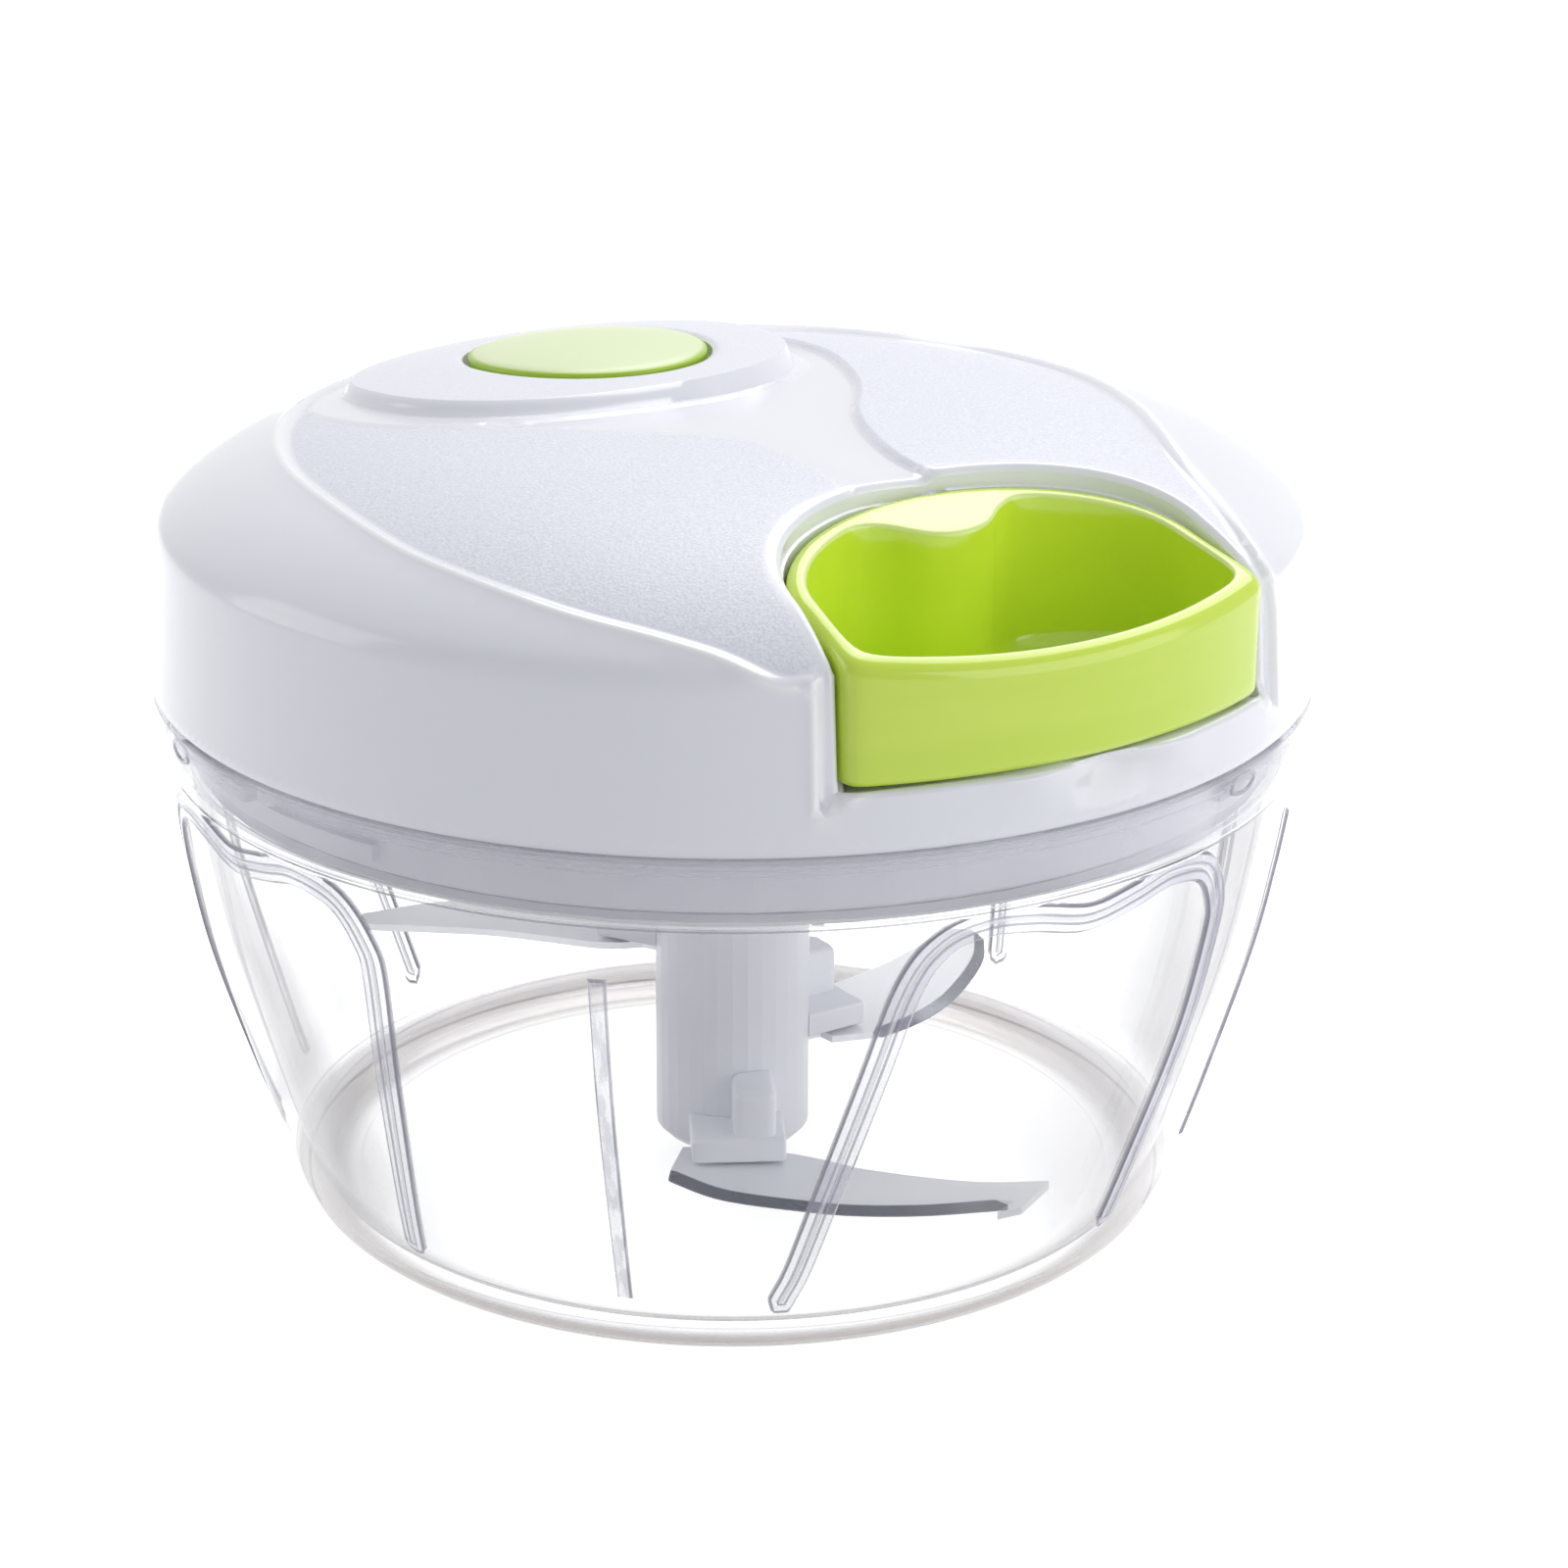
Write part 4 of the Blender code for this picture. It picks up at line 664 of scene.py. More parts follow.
class Sieve:
    """Collects flat points that keep their distance from those already there."""

    def __init__(self, cell=0.6):
        self.cell = cell
        self.points = []
        self.grid = {}

    def add(self, point, clear):
        reach = int(math.ceil(clear / self.cell))
        home = (int(point[0] // self.cell), int(point[1] // self.cell))
        for i in range(home[0] - reach, home[0] + reach + 1):
            for j in range(home[1] - reach, home[1] + reach + 1):
                for k in self.grid.get((i, j), ()):
                    if math.dist(self.points[k], point) < clear:
                        return None
        self.points.append((float(point[0]), float(point[1])))
        self.grid.setdefault(home, []).append(len(self.points) - 1)
        return len(self.points) - 1


def flat_triangles(sieve, loops, keep):
    """Triangles over the collected points, with the loops as edges, where keep says so."""
    edges = []
    for loop in loops:
        edges += list(zip(loop, loop[1:] + loop[:1]))
    out = delaunay_2d_cdt([Vector(p) for p in sieve.points], edges, [], 0, 1e-5, True)
    verts = np.array([tuple(v) for v in out[0]])
    faces = [f for f in out[2] if len(f) == 3]
    middle = verts[np.array(faces)].mean(axis=1)
    chosen = keep(middle)
    new_index = {}
    for i, origins in enumerate(out[3]):
        for origin in origins:
            new_index[origin] = i
    return verts, [f for f, ok in zip(faces, chosen) if ok], new_index


def face_up(faces, points):
    """The same triangles, each turned to run anticlockwise in the flat."""
    result = []
    for a, b, c in faces:
        area = (points[b][0] - points[a][0]) * (points[c][1] - points[a][1]) - (
            points[c][0] - points[a][0]) * (points[b][1] - points[a][1])
        result.append((a, b, c) if area > 0 else (a, c, b))
    return result


# Repeats


def round_tree():
    """Geometry Nodes: copies of a shape, turned about the upright axis in equal steps."""
    tree = bpy.data.node_groups.new("turned_copies", "GeometryNodeTree")
    face = tree.interface
    for name, kind in (("Shape", "Geometry"), ("Count", "Int"), ("Turn", "Float"), ("Finish", "Material")):
        face.new_socket(name, in_out="INPUT", socket_type=f"NodeSocket{kind}")
    face.new_socket("Copies", in_out="OUTPUT", socket_type="NodeSocketGeometry")
    given = add_node(tree, "NodeGroupInput")
    index = add_node(tree, "GeometryNodeInputIndex")[0]
    places = add_node(tree, "GeometryNodePoints", {"Count": given["Count"]})[0]
    turn = add_node(tree, "ShaderNodeMath", {0: index, 1: given["Turn"]}, operation="MULTIPLY")[0]
    spin = add_node(tree, "ShaderNodeCombineXYZ", {2: turn})[0]
    values = {"Points": places, "Instance": given["Shape"], "Rotation": spin}
    copies = add_node(tree, "GeometryNodeInstanceOnPoints", values)[0]
    real = add_node(tree, "GeometryNodeRealizeInstances", {"Geometry": copies})[0]
    merged = add_node(tree, "GeometryNodeMergeByDistance", {"Geometry": real, "Distance": SAME_PLACE})[0]
    done = add_node(tree, "GeometryNodeSetMaterial", {"Geometry": merged, "Material": given["Finish"]})[0]
    add_node(tree, "NodeGroupOutput", {0: done})
    return tree


def turned_copies(obj, tree, count, turn, finish):
    """Repeats an object round the upright axis, turned by equal steps in degrees."""
    modifier = obj.modifiers.new("turned_copies", "NODES")
    modifier.node_group = tree
    given = {"Count": count, "Turn": math.radians(turn), "Finish": finish}
    for item in tree.interface.items_tree:
        if item.name in given:
            modifier[item.identifier] = given[item.name]
    return plain_mesh(obj)


# Lid cover


def dome_height(radius):
    """Height of the lid's plain dome at a distance from its axis."""
    share = np.clip(np.asarray(radius, float) / SIDE_R, 0.0, 1.0)
    return SHOULDER_Z + DOME_RISE * (1 - share ** DOME_POWER) ** DOME_ROUND


class Profile:
    """The lid's outside from its apex to its seam, by distance run along it."""

    def __init__(self):
        share = 1 - (1 - np.linspace(0, 1, 500)) ** 2
        dome = np.column_stack([SIDE_R * share, dome_height(SIDE_R * share)])
        side = np.column_stack([np.linspace(SIDE_R, SEAM_R, 60),
                                np.linspace(SHOULDER_Z, SEAM_Z + SEAM_ROUND, 60)])
        line = np.vstack([dome, side[1:]])
        self.run = np.concatenate([[0.0], np.cumsum(np.linalg.norm(np.diff(line, axis=0), axis=1))])
        self.line = line
        self.shoulder = self.run[len(dome) - 1]
        self.end = self.run[-1]
        slope = np.gradient(line, axis=0)
        width = np.ones(9) / 9
        for k in range(2):
            padded = np.pad(slope[:, k], 4, mode="edge")
            slope[:, k] = np.convolve(padded, width, mode="valid")
        slope /= np.linalg.norm(slope, axis=1, keepdims=True)
        self.out = np.column_stack([-slope[:, 1], slope[:, 0]])

    def at_radius(self, radius):
        """Run to a radius on the dome."""
        dome = self.run <= self.shoulder + 1e-9
        return np.interp(radius, self.line[dome, 0], self.run[dome])

    def at_height(self, z):
        """Run to a height on the side."""
        side = self.run >= self.shoulder - 1e-9
        return np.interp(-np.asarray(z, float), -self.line[side, 1], self.run[side])

    def raised(self, flat, lift):
        """Places of unrolled points, moved out of the surface by lift."""
        run = np.hypot(flat[:, 0], flat[:, 1])
        safe = np.maximum(run, 1e-9)
        radius = np.interp(run, self.run, self.line[:, 0])
        height = np.interp(run, self.run, self.line[:, 1])
        out_r = np.interp(run, self.run, self.out[:, 0])
        out_z = np.interp(run, self.run, self.out[:, 1])
        reach = radius + lift * out_r
        x, y = flat[:, 0] / safe * reach, flat[:, 1] / safe * reach
        return np.column_stack([x, y, height + lift * out_z])


PROFILE = Profile()


def unroll(plan):
    """Plan points on the dome as unrolled points."""
    plan = np.array(plan, float)
    radius = np.hypot(plan[:, 0], plan[:, 1])
    return plan * (PROFILE.at_radius(radius) / np.maximum(radius, 1e-9))[:, None]


def unroll_side(azimuth, heights):
    """Points of the side at one azimuth as unrolled points."""
    angle = math.radians(azimuth)
    return PROFILE.at_height(heights)[:, None] * np.array([[math.sin(angle), -math.cos(angle)]])


def superellipse(centre, half, power, count=160):
    """A closed oval in plan, squarer for a higher power."""
    angle = np.linspace(0, 2 * math.pi, count, endpoint=False)
    reach = (np.abs(np.cos(angle)) ** power + np.abs(np.sin(angle)) ** power) ** (-1 / power)
    x = centre[0] + half[0] * reach * np.cos(angle)
    return np.column_stack([x, centre[1] + half[1] * reach * np.sin(angle)])


def opening_side(height):
    """Azimuth at which the opening's straight flank meets the lid's side."""
    top = np.array([CUP_HALF_X + OPENING_GAP, CUP_AT_Y])
    corner_x, corner_y = around(CUP_FRONT_R, CUP_FRONT_SPAN)
    low = np.array([corner_x + 1.4 * OPENING_GAP, corner_y])
    line = top + np.linspace(0, 1.4, 200)[:, None] * (low - top)
    reach = np.hypot(line[:, 0], line[:, 1])
    run = PROFILE.at_height(height)
    radius = np.interp(run, PROFILE.run, PROFILE.line[:, 0])
    share = np.interp(radius, reach, np.arange(len(reach)))
    x = np.interp(share, np.arange(len(reach)), line[:, 0])
    y = np.interp(share, np.arange(len(reach)), line[:, 1])
    return np.degrees(np.arctan2(x, -y))


def opening_loop():
    """The handle's opening, unrolled: up its right flank, round the arch, down the left, along its sill."""
    heights = np.linspace(OPENING_Z, SHOULDER_Z, 12)
    flank = [PROFILE.at_height(z) * np.array(around(1.0, opening_side(z))) for z in heights[:-1]]
    angle = np.linspace(0, math.pi, 80)
    arch = np.column_stack([(CUP_HALF_X + OPENING_GAP) * np.cos(angle),
                            CUP_AT_Y + (CUP_HALF_Y + OPENING_GAP) * np.sin(angle)])
    shoulder = np.array(around(SIDE_R, opening_side(SHOULDER_Z)))
    right = np.linspace(shoulder, arch[0], 8)[:-1]
    left = right[::-1] * np.array([-1.0, 1.0])
    top = unroll(np.vstack([right, arch, left]))
    mirrored = [p * np.array([-1.0, 1.0]) for p in flank[::-1]]
    sill_run = PROFILE.at_height(OPENING_Z)
    span = opening_side(OPENING_Z)
    sill = [sill_run * np.array(around(1.0, a)) for a in np.linspace(-span, span, 42)[1:-1]]
    return evenly(np.vstack([flank, top, mirrored, sill, flank[:1]]), 1.1, True)


def border_loop():
    """The line round both grained panels, down the two lips beside the handle."""
    lip = np.linspace(LIP_TOP_Z, LIP_FOOT_Z, 6)
    left = unroll_side(LIP_LEFT_AZ, lip)
    right = unroll_side(LIP_RIGHT_AZ, lip)
    dome = unroll(BORDER_LEFT + BORDER_BACK + BORDER_RIGHT)
    return curve_through(np.vstack([left[::-1], dome, right]), 1.15)


def lid_lines():
    """Every line of the lid's relief, unrolled."""
    lines = {"border": border_loop(), "opening": opening_loop(),
             "panel": curve_through(unroll(PANEL_EDGE), 1.2), "step": curve_through(unroll(STEP_EDGE), 1.1)}
    ovals = (("pad", PAD_AT, PAD_HALF, 1.1), ("ledge", LEDGE_AT, LEDGE_HALF, 1.4))
    for name, centre, half, spacing in ovals:
        lines[name] = evenly(closed_line(unroll(superellipse(centre, half, PAD_POWER))), spacing, True)
    lines["well"] = unroll(superellipse(BUTTON_AT, (BUTTON_R + WELL_GAP,) * 2, 2.0, 96))
    lines["strip"] = np.vstack([lines["panel"], unroll(STRIP_FRONT), lines["step"], unroll(STRIP_BACK)])
    return lines


def closed_line(line):
    """The line with its first point added at its end."""
    return np.vstack([line, line[:1]])


def opening_roll(flat, opening):
    """Distance of each point from the opening, and how far its rolled edge drops there."""
    away, index = nearest(flat, opening, True)
    run = np.hypot(*opening[index].T)
    on_sill = run > PROFILE.at_height(OPENING_Z) - SILL_ROLL
    on_flank = (run > PROFILE.shoulder - 3.0) & ~on_sill
    roll = np.where(on_sill, SILL_ROLL, np.where(on_flank, FLANK_ROLL, ARCH_ROLL))
    into = np.clip(roll - away, 0.0, None)
    return away, roll - np.sqrt(np.maximum(roll ** 2 - into ** 2, 0.0))


def finger_scoop(flat):
    """Depth of the hollow below the handle, with a faint swell on each side of it."""
    run = np.hypot(flat[:, 0], flat[:, 1])
    azimuth = np.degrees(np.arctan2(flat[:, 0], -flat[:, 1]))
    top, foot, fade, end = [PROFILE.at_height(z) for z in (
        OPENING_Z + SCOOP_TOP, OPENING_Z - SCOOP_TOP, OPENING_Z - SCOOP_FADE[0], SEAM_Z + SCOOP_FADE[1])]
    low = smoothstep(top, foot, run)
    high = 1 - smoothstep(fade, end, run)
    from_middle = np.abs(azimuth - SCOOP_AZ)
    swell = SWELL_SHARE * np.exp(-((from_middle - SWELL_OFF) / SWELL_SPREAD) ** 2)
    return SCOOP_DEPTH * (np.exp(-(from_middle / SCOOP_SPREAD) ** 2) - swell) * low * high


def lid_relief(flat, lines):
    """How far each unrolled point stands out of the plain dome, its grain, and its share of bead, where the
    white shell paints a highlight.
    """
    in_field = signed(flat, lines["border"])
    field = ramp(-BORDER_RUN / 2, BORDER_RUN / 2, in_field)
    panel_away, _ = nearest(flat, lines["panel"])
    step_away, _ = nearest(flat, lines["step"])
    in_strip = inside(flat, lines["strip"])
    past_panel = np.where(in_strip, panel_away, -panel_away)
    past_step = np.where(in_strip, step_away, -step_away)
    strip = ramp(-STEP_RUN / 2, STEP_RUN / 2, past_step)
    share = smoothstep(0.0, 1.0, panel_away / np.maximum(panel_away + step_away, 1e-6))
    fade = 1 - smoothstep(*STRIP_FADE_Y, flat[:, 1])
    on_ledge = signed(flat, lines["ledge"])
    bead = np.exp(-((in_field + BORDER_RUN / 2 + BEAD_OFF) / BEAD_SPREAD) ** 2)
    pad = signed(flat, lines["pad"])
    on_pad = ramp(0.0, PAD_BEVEL, pad)
    lift = -PANEL_DEPTH * field - STRIP_DEPTH * field * strip * share * fade
    lift = lift + LEDGE_RISE * ramp(-LEDGE_RUN / 2, LEDGE_RUN / 2, on_ledge) + BEAD_RISE * bead
    lift = lift * (1 - on_pad) + PAD_PROUD * on_pad
    lift = lift - WELL_DIP * (1 - smoothstep(0.0, WELL_DIP_RUN, -signed(flat, lines["well"])))
    away, drop = opening_roll(flat, lines["opening"])
    lift = lift - drop - finger_scoop(flat)

    grain = smoothstep(*GRAIN_EDGES["border"], in_field)
    for name, past in (("panel", past_panel), ("step", past_step), ("ledge", on_ledge)):
        grain = grain * (1 - smoothstep(*GRAIN_EDGES[name], past))
    grain = np.maximum(grain, PAD_GRAIN * smoothstep(PAD_BEVEL, PAD_BEVEL + 0.4, pad))
    return lift, grain * smoothstep(*GRAIN_EDGES["opening"], away), bead * (1 - on_pad)


def lid_points(lines):
    """Unrolled points of the lid: dense beside its lines, even rings elsewhere."""
    sieve = Sieve()
    opening = [sieve.add(p, 0.0) for p in lines["opening"]]
    well = [sieve.add(p, 0.0) for p in lines["well"]]
    seam = [sieve.add(np.array(around(PROFILE.end, 360.0 * i / LID_STEPS)), 0.0) for i in range(LID_STEPS)]
    half = BORDER_RUN / 2
    step = STEP_RUN / 2
    ledge = LEDGE_RUN / 2
    beside = (("opening", True, (0.15, 0.35, 0.6, 0.9, 1.3, 1.8)), ("well", True, (0.25, 0.5, 0.8, 1.3)),
              ("border", False, (half, -half, 0.0, half + 0.35, half + 0.75, half + 1.2, -half - 0.35,
                                 -half - 0.8)),
              ("step", False, (step, -step, 0.0, step + 0.3, -step - 0.3)),
              ("panel", False, (0.65, -0.65, 0.0)),
              ("pad", True, (0.0, PAD_BEVEL, PAD_BEVEL / 2, -0.3, PAD_BEVEL + 0.3)),
              ("ledge", True, (ledge, -ledge, 2 * ledge, -2 * ledge)))
    for name, is_closed, distances in beside:
        for distance in distances:
            for side in ((-1, 1) if name in ("opening", "well") else (1,)):
                for point in side_step(lines[name], side * distance, is_closed):
                    sieve.add(point, 0.24)
    run = FIRST_RING
    odd = False
    while run < PROFILE.end - 0.6:
        near_shoulder = abs(run - PROFILE.shoulder + 4.0) < 9.0
        count = max(int(2 * math.pi * run / RING_PITCH), 6)
        for i in range(count):
            sieve.add(np.array(around(run, 360.0 * (i + 0.5 * odd) / count)), 0.85)
        odd = not odd
        run += SHOULDER_PITCH if near_shoulder else RING_PITCH
    for z in (SEAM_Z + 1.0, SEAM_Z + 2.2):
        for i in range(LID_STEPS):
            sieve.add(np.array(around(PROFILE.at_height(z), 360.0 * (i + 0.5) / LID_STEPS)), 0.6)
    return sieve, opening, well, seam


def lid_cover(material):
    """The lid's cover as a skin of even thickness, with the handle's pocket and the button's well."""
    lines = lid_lines()
    sieve, opening, well, seam = lid_points(lines)

    def keep(middle):
        return ~inside(middle, lines["opening"]) & ~inside(middle, lines["well"]) & (
            np.hypot(middle[:, 0], middle[:, 1]) < PROFILE.end)

    flat, faces, index = flat_triangles(sieve, [opening, well], keep)
    lift, grain, bead = lid_relief(flat, lines)
    points = [tuple(p) for p in PROFILE.raised(flat, lift)]
    faces = face_up(faces, flat)
    add_pocket(points, faces, [index[i] for i in opening], flat)
    add_well(points, faces, [index[i] for i in well])
    rim = [index[i] for i in seam]
    count = len(points)
    for i, vertex in enumerate(rim):
        angle = 360.0 * i / len(rim)
        points.append((*around(SEAM_R - SEAM_ROUND, angle), SEAM_Z))
    for i in range(len(rim)):
        j = (i + 1) % len(rim)
        faces.append((rim[i], count + i, count + j, rim[j]))
    cover = piece("lid_cover", points, faces, material, LID_SHARP)
    # The bead's share is where the white shell's material paints a highlight.
    for name, values in (("grain", grain), ("bead", bead)):
        set_attribute(cover, name, np.pad(values, (0, len(points) - len(values))))
    thick = cover.modifiers.new("skin", "SOLIDIFY")
    thick.thickness = LID_SKIN * MM
    thick.offset = -1.0
    return plain_mesh(cover, LID_SHARP)


def add_pocket(points, faces, loop, flat):
    """Walls straight down from the opening's edge, and the floor the handle lies over."""
    sill_run = PROFILE.at_height(OPENING_Z) - 0.6
    low = {}
    for vertex in loop:
        x, y, z = points[vertex]
        if np.hypot(*flat[vertex]) < sill_run:
            low[vertex] = len(points)
            points.append((x, y, OPENING_Z - 0.5))
        else:
            low[vertex] = vertex
    for a, b in zip(loop, loop[1:] + loop[:1]):
        add_face(faces, [a, low[a], low[b], b])
    faces.append([low[v] for v in loop])


def add_well(points, faces, loop):
    """The button's well: a wall down from its edge and a floor in to the stem's hole."""
    floor_z = BUTTON_HIGH[2] - WELL_DEPTH - WELL_FLOOR_DROP
    low = len(points)
    for vertex in loop:
        points.append((points[vertex][0], points[vertex][1], floor_z))
    inner = len(points)
    for vertex in loop:
        x, y = points[vertex][0] - BUTTON_AT[0], points[vertex][1] - BUTTON_AT[1]
        share = STEM_HOLE_R / math.hypot(x, y)
        points.append((BUTTON_AT[0] + x * share, BUTTON_AT[1] + y * share, floor_z))
    count = len(loop)
    for i in range(count):
        j = (i + 1) % count
        faces.append((loop[j], loop[i], low + i, low + j))
        faces.append((low + j, low + i, inner + i, inner + j))


class Rows:
    """A mesh of closed rows of points, each joined to the one before it."""

    def __init__(self):
        self.points = []
        self.faces = []

    def row(self, loop, height):
        """A row over a flat loop; height is a number or a function of x and y."""
        first = len(self.points)
        for x, y in loop:
            self.points.append((x, y, height(x, y) if callable(height) else height))
        return list(range(first, len(self.points)))

    def join(self, low, high, turned=False):
        count = len(low)
        for i in range(count):
            j = (i + 1) % count
            face = (low[i], low[j], high[j], high[i])
            self.faces.append(face[::-1] if turned else face)

    def carry_on(self, last, loop, height):
        """A new row, joined to the last one."""
        now = self.row(loop, height)
        self.join(last, now)
        return now

    def wall(self, last, loop, low, high, steps=7):
        """Even rows from one height to another, each a function of x and y."""
        for share in np.linspace(0, 1, steps + 1)[1:]:
            last = self.carry_on(last, loop, lambda x, y: low(x, y) + share * (high(x, y) - low(x, y)))
        return last

    def fill(self, outer, holes, height, turned=False, grid=2.5, lines=()):
        """Triangles inside a row and outside its holes, facing up, or down where turned."""
        sieve = Sieve()
        known = list(outer) + [v for hole in holes for v in hole]
        given = [sieve.add(self.points[v][:2], 0.0) for v in known]
        loops = []
        for loop in [outer, *holes]:
            start = sum(len(done) for done in loops)
            loops.append(given[start:start + len(loop)])
        edge = np.array([self.points[v][:2] for v in outer])
        cuts = [np.array([self.points[v][:2] for v in hole]) for hole in holes]

        def keep(middle):
            result = inside(middle, edge)
            for cut in cuts:
                result &= ~inside(middle, cut)
            return result

        low, high = edge.min(axis=0), edge.max(axis=0)
        columns = np.arange(low[0], high[0], grid)
        spots = np.array([(x, y) for x in columns for y in np.arange(low[1], high[1], grid)])
        extra = [np.asarray(line) for line in lines]
        for spot in np.vstack([*extra, spots]):
            if keep(spot[None])[0]:
                sieve.add(spot, grid * 0.35)
        verts, faces, index = flat_triangles(sieve, loops, keep)
        place = {index[g]: v for g, v in zip(given, known)}
        for face in face_up(faces, verts):
            for k in face:
                if k not in place:
                    place[k] = self.row([tuple(verts[k])], height)[0]
            corners = tuple(place[k] for k in face)
            self.faces.append(corners[::-1] if turned else corners)


def edge_round(radius, steps=5):
    """Inset and drop of a quarter round, from its side up to its top."""
    angles = np.linspace(0, math.pi / 2, steps + 1)
    return [(radius * (1 - math.cos(a)), radius * (1 - math.sin(a))) for a in angles]


def soften(loop, corners, reach):
    """Rounds a closed line where it passes the given corners."""
    spacing = np.linalg.norm(loop[1] - loop[0])
    half = max(int(round(reach / spacing / 2)), 1)
    smooth = loop
    for _ in range(2):
        smooth = sum(np.roll(smooth, k, axis=0) for k in range(-half, half + 1)) / (2 * half + 1)
    near = np.min([np.hypot(*(loop - np.array(corner)).T) for corner in corners], axis=0)
    share = (1 - smoothstep(reach * 1.2, reach * 2.4, near))[:, None]
    return loop * (1 - share) + smooth * share


# Pull handle


def rim_height(x, y):
    """Height of the cup's rim, which rises towards the back."""
    return RIM_FRONT_Z + RIM_SLOPE * (y + CUP_FRONT_R)


def cup_loop(corner):
    """Plan of the handle: an arch at the back, leaning sides, and an arc of the lid's round in front."""
    turns = np.linspace(0, math.pi, 60)
    arch = [(CUP_HALF_X * math.cos(a), CUP_AT_Y + CUP_HALF_Y * math.sin(a)) for a in turns]
    front = [around(CUP_FRONT_R, a) for a in np.linspace(-CUP_FRONT_SPAN, CUP_FRONT_SPAN, 60)]
    loop = evenly(closed_line(np.array(arch + front)), 0.6, True)
    return soften(loop, [front[0], front[-1]], corner)


def cavity_loop():
    """Plan of the cup's inside, round the boss that holds the cord."""
    loop = side_step(cup_loop(CAVITY_CORNER), CUP_WALL, True)
    foot = BOSS_HALF + BOSS_FOOT_RUN
    at_boss = (np.abs(loop[:, 0]) < foot) & (loop[:, 1] > CUP_AT_Y)
    gap = np.flatnonzero(at_boss)
    right, left = loop[:gap[0]], loop[gap[-1] + 1:]
    tip = CUP_BACK_Y - BOSS_DEPTH
    flank = [(BOSS_HALF + 1.9, tip + 4.0), (BOSS_HALF - 0.1, tip + 3.0), (BOSS_HALF - 1.7, tip + 1.75),
             (BOSS_HALF - 3.9, tip + 0.5)]
    mirrored = [(-x, y) for x, y in flank[::-1]]
    boss = curve_through([right[-1], *flank, (0.0, tip), *mirrored, left[0]], 0.5)
    loop = evenly(closed_line(np.vstack([right[:-1], boss, left[1:]])), 0.6, True)
    return soften(loop, [(foot, right[-1][1]), (-foot, left[0][1])], 2.4)


def pull_cup(material):
    """The pull handle: its outside, rim, cup and floor, and the room for the knot below its boss."""
    outer = cup_loop(CUP_CORNER)
    inner = cavity_loop()
    rows = Rows()
    low_round = edge_round(CUP_LOW_ROUND)
    rim_out = edge_round(RIM_OUT_ROUND)
    rim_in = edge_round(RIM_IN_ROUND)
    floor_round = edge_round(CAVITY_FLOOR_ROUND, 6)
    floor_z = CUP_Z + CUP_FLOOR
    low_z = CUP_Z + low_round[0][1]
    wall_foot = floor_z + floor_round[0][1]

    def below_rim(drop):
        return lambda x, y: rim_height(x, y) - drop

    def level(z):
        return lambda x, y: z

    inset, drop = low_round[-1]
    first = rows.row(side_step(outer, inset, True), CUP_Z + drop)
    last = first
    for inset, drop in low_round[-2::-1]:
        last = rows.carry_on(last, side_step(outer, inset, True), CUP_Z + drop)
    last = rows.wall(last, outer, level(low_z), below_rim(rim_out[0][1]))
    for inset, drop in rim_out[1:]:
        last = rows.carry_on(last, side_step(outer, inset, True), below_rim(drop))
    rim = rows.row(side_step(inner, -rim_in[-1][0], True), rim_height)
    rows.fill(last, [rim], rim_height, grid=0.9)
    last = rim
    for inset, drop in rim_in[-2::-1]:
        last = rows.carry_on(last, side_step(inner, -inset, True), below_rim(drop))
    cavity_from = last[0]
    last = rows.wall(last, inner, below_rim(rim_in[0][1]), level(wall_foot))
    for inset, drop in floor_round[1:]:
        last = rows.carry_on(last, side_step(inner, inset, True), floor_z + drop)
    rows.fill(last, [], floor_z, grid=3.0)
    cavity_to = len(rows.points)
    half = KNOT_ROOM_HALF
    back = CUP_BACK_Y - CUP_WALL + KNOT_ROOM_BACK
    front = CUP_BACK_Y - BOSS_DEPTH + KNOT_ROOM_FRONT
    room = [(-half, front), (half, front), (half, back), (-half, back)]
    mouth = rows.row(room, CUP_Z)
    top = rows.row(room, CUP_Z + KNOT_ROOM_HIGH)
    rows.join(mouth, top, turned=True)
    rows.faces.append(top[::-1])
    rows.fill(first, [mouth], CUP_Z, turned=True, grid=3.0)
    cup = piece("pull_cup", rows.points, rows.faces, material)
    index = np.arange(len(cup.data.vertices))
    set_attribute(cup, "depth", (index >= cavity_from) & (index < cavity_to))
    # The rim's flat top and inner round, where the lime material paints a highlight.
    set_attribute(cup, "rim", (index >= rim[0]) & (index < cavity_from))
    return cup


# Brake button


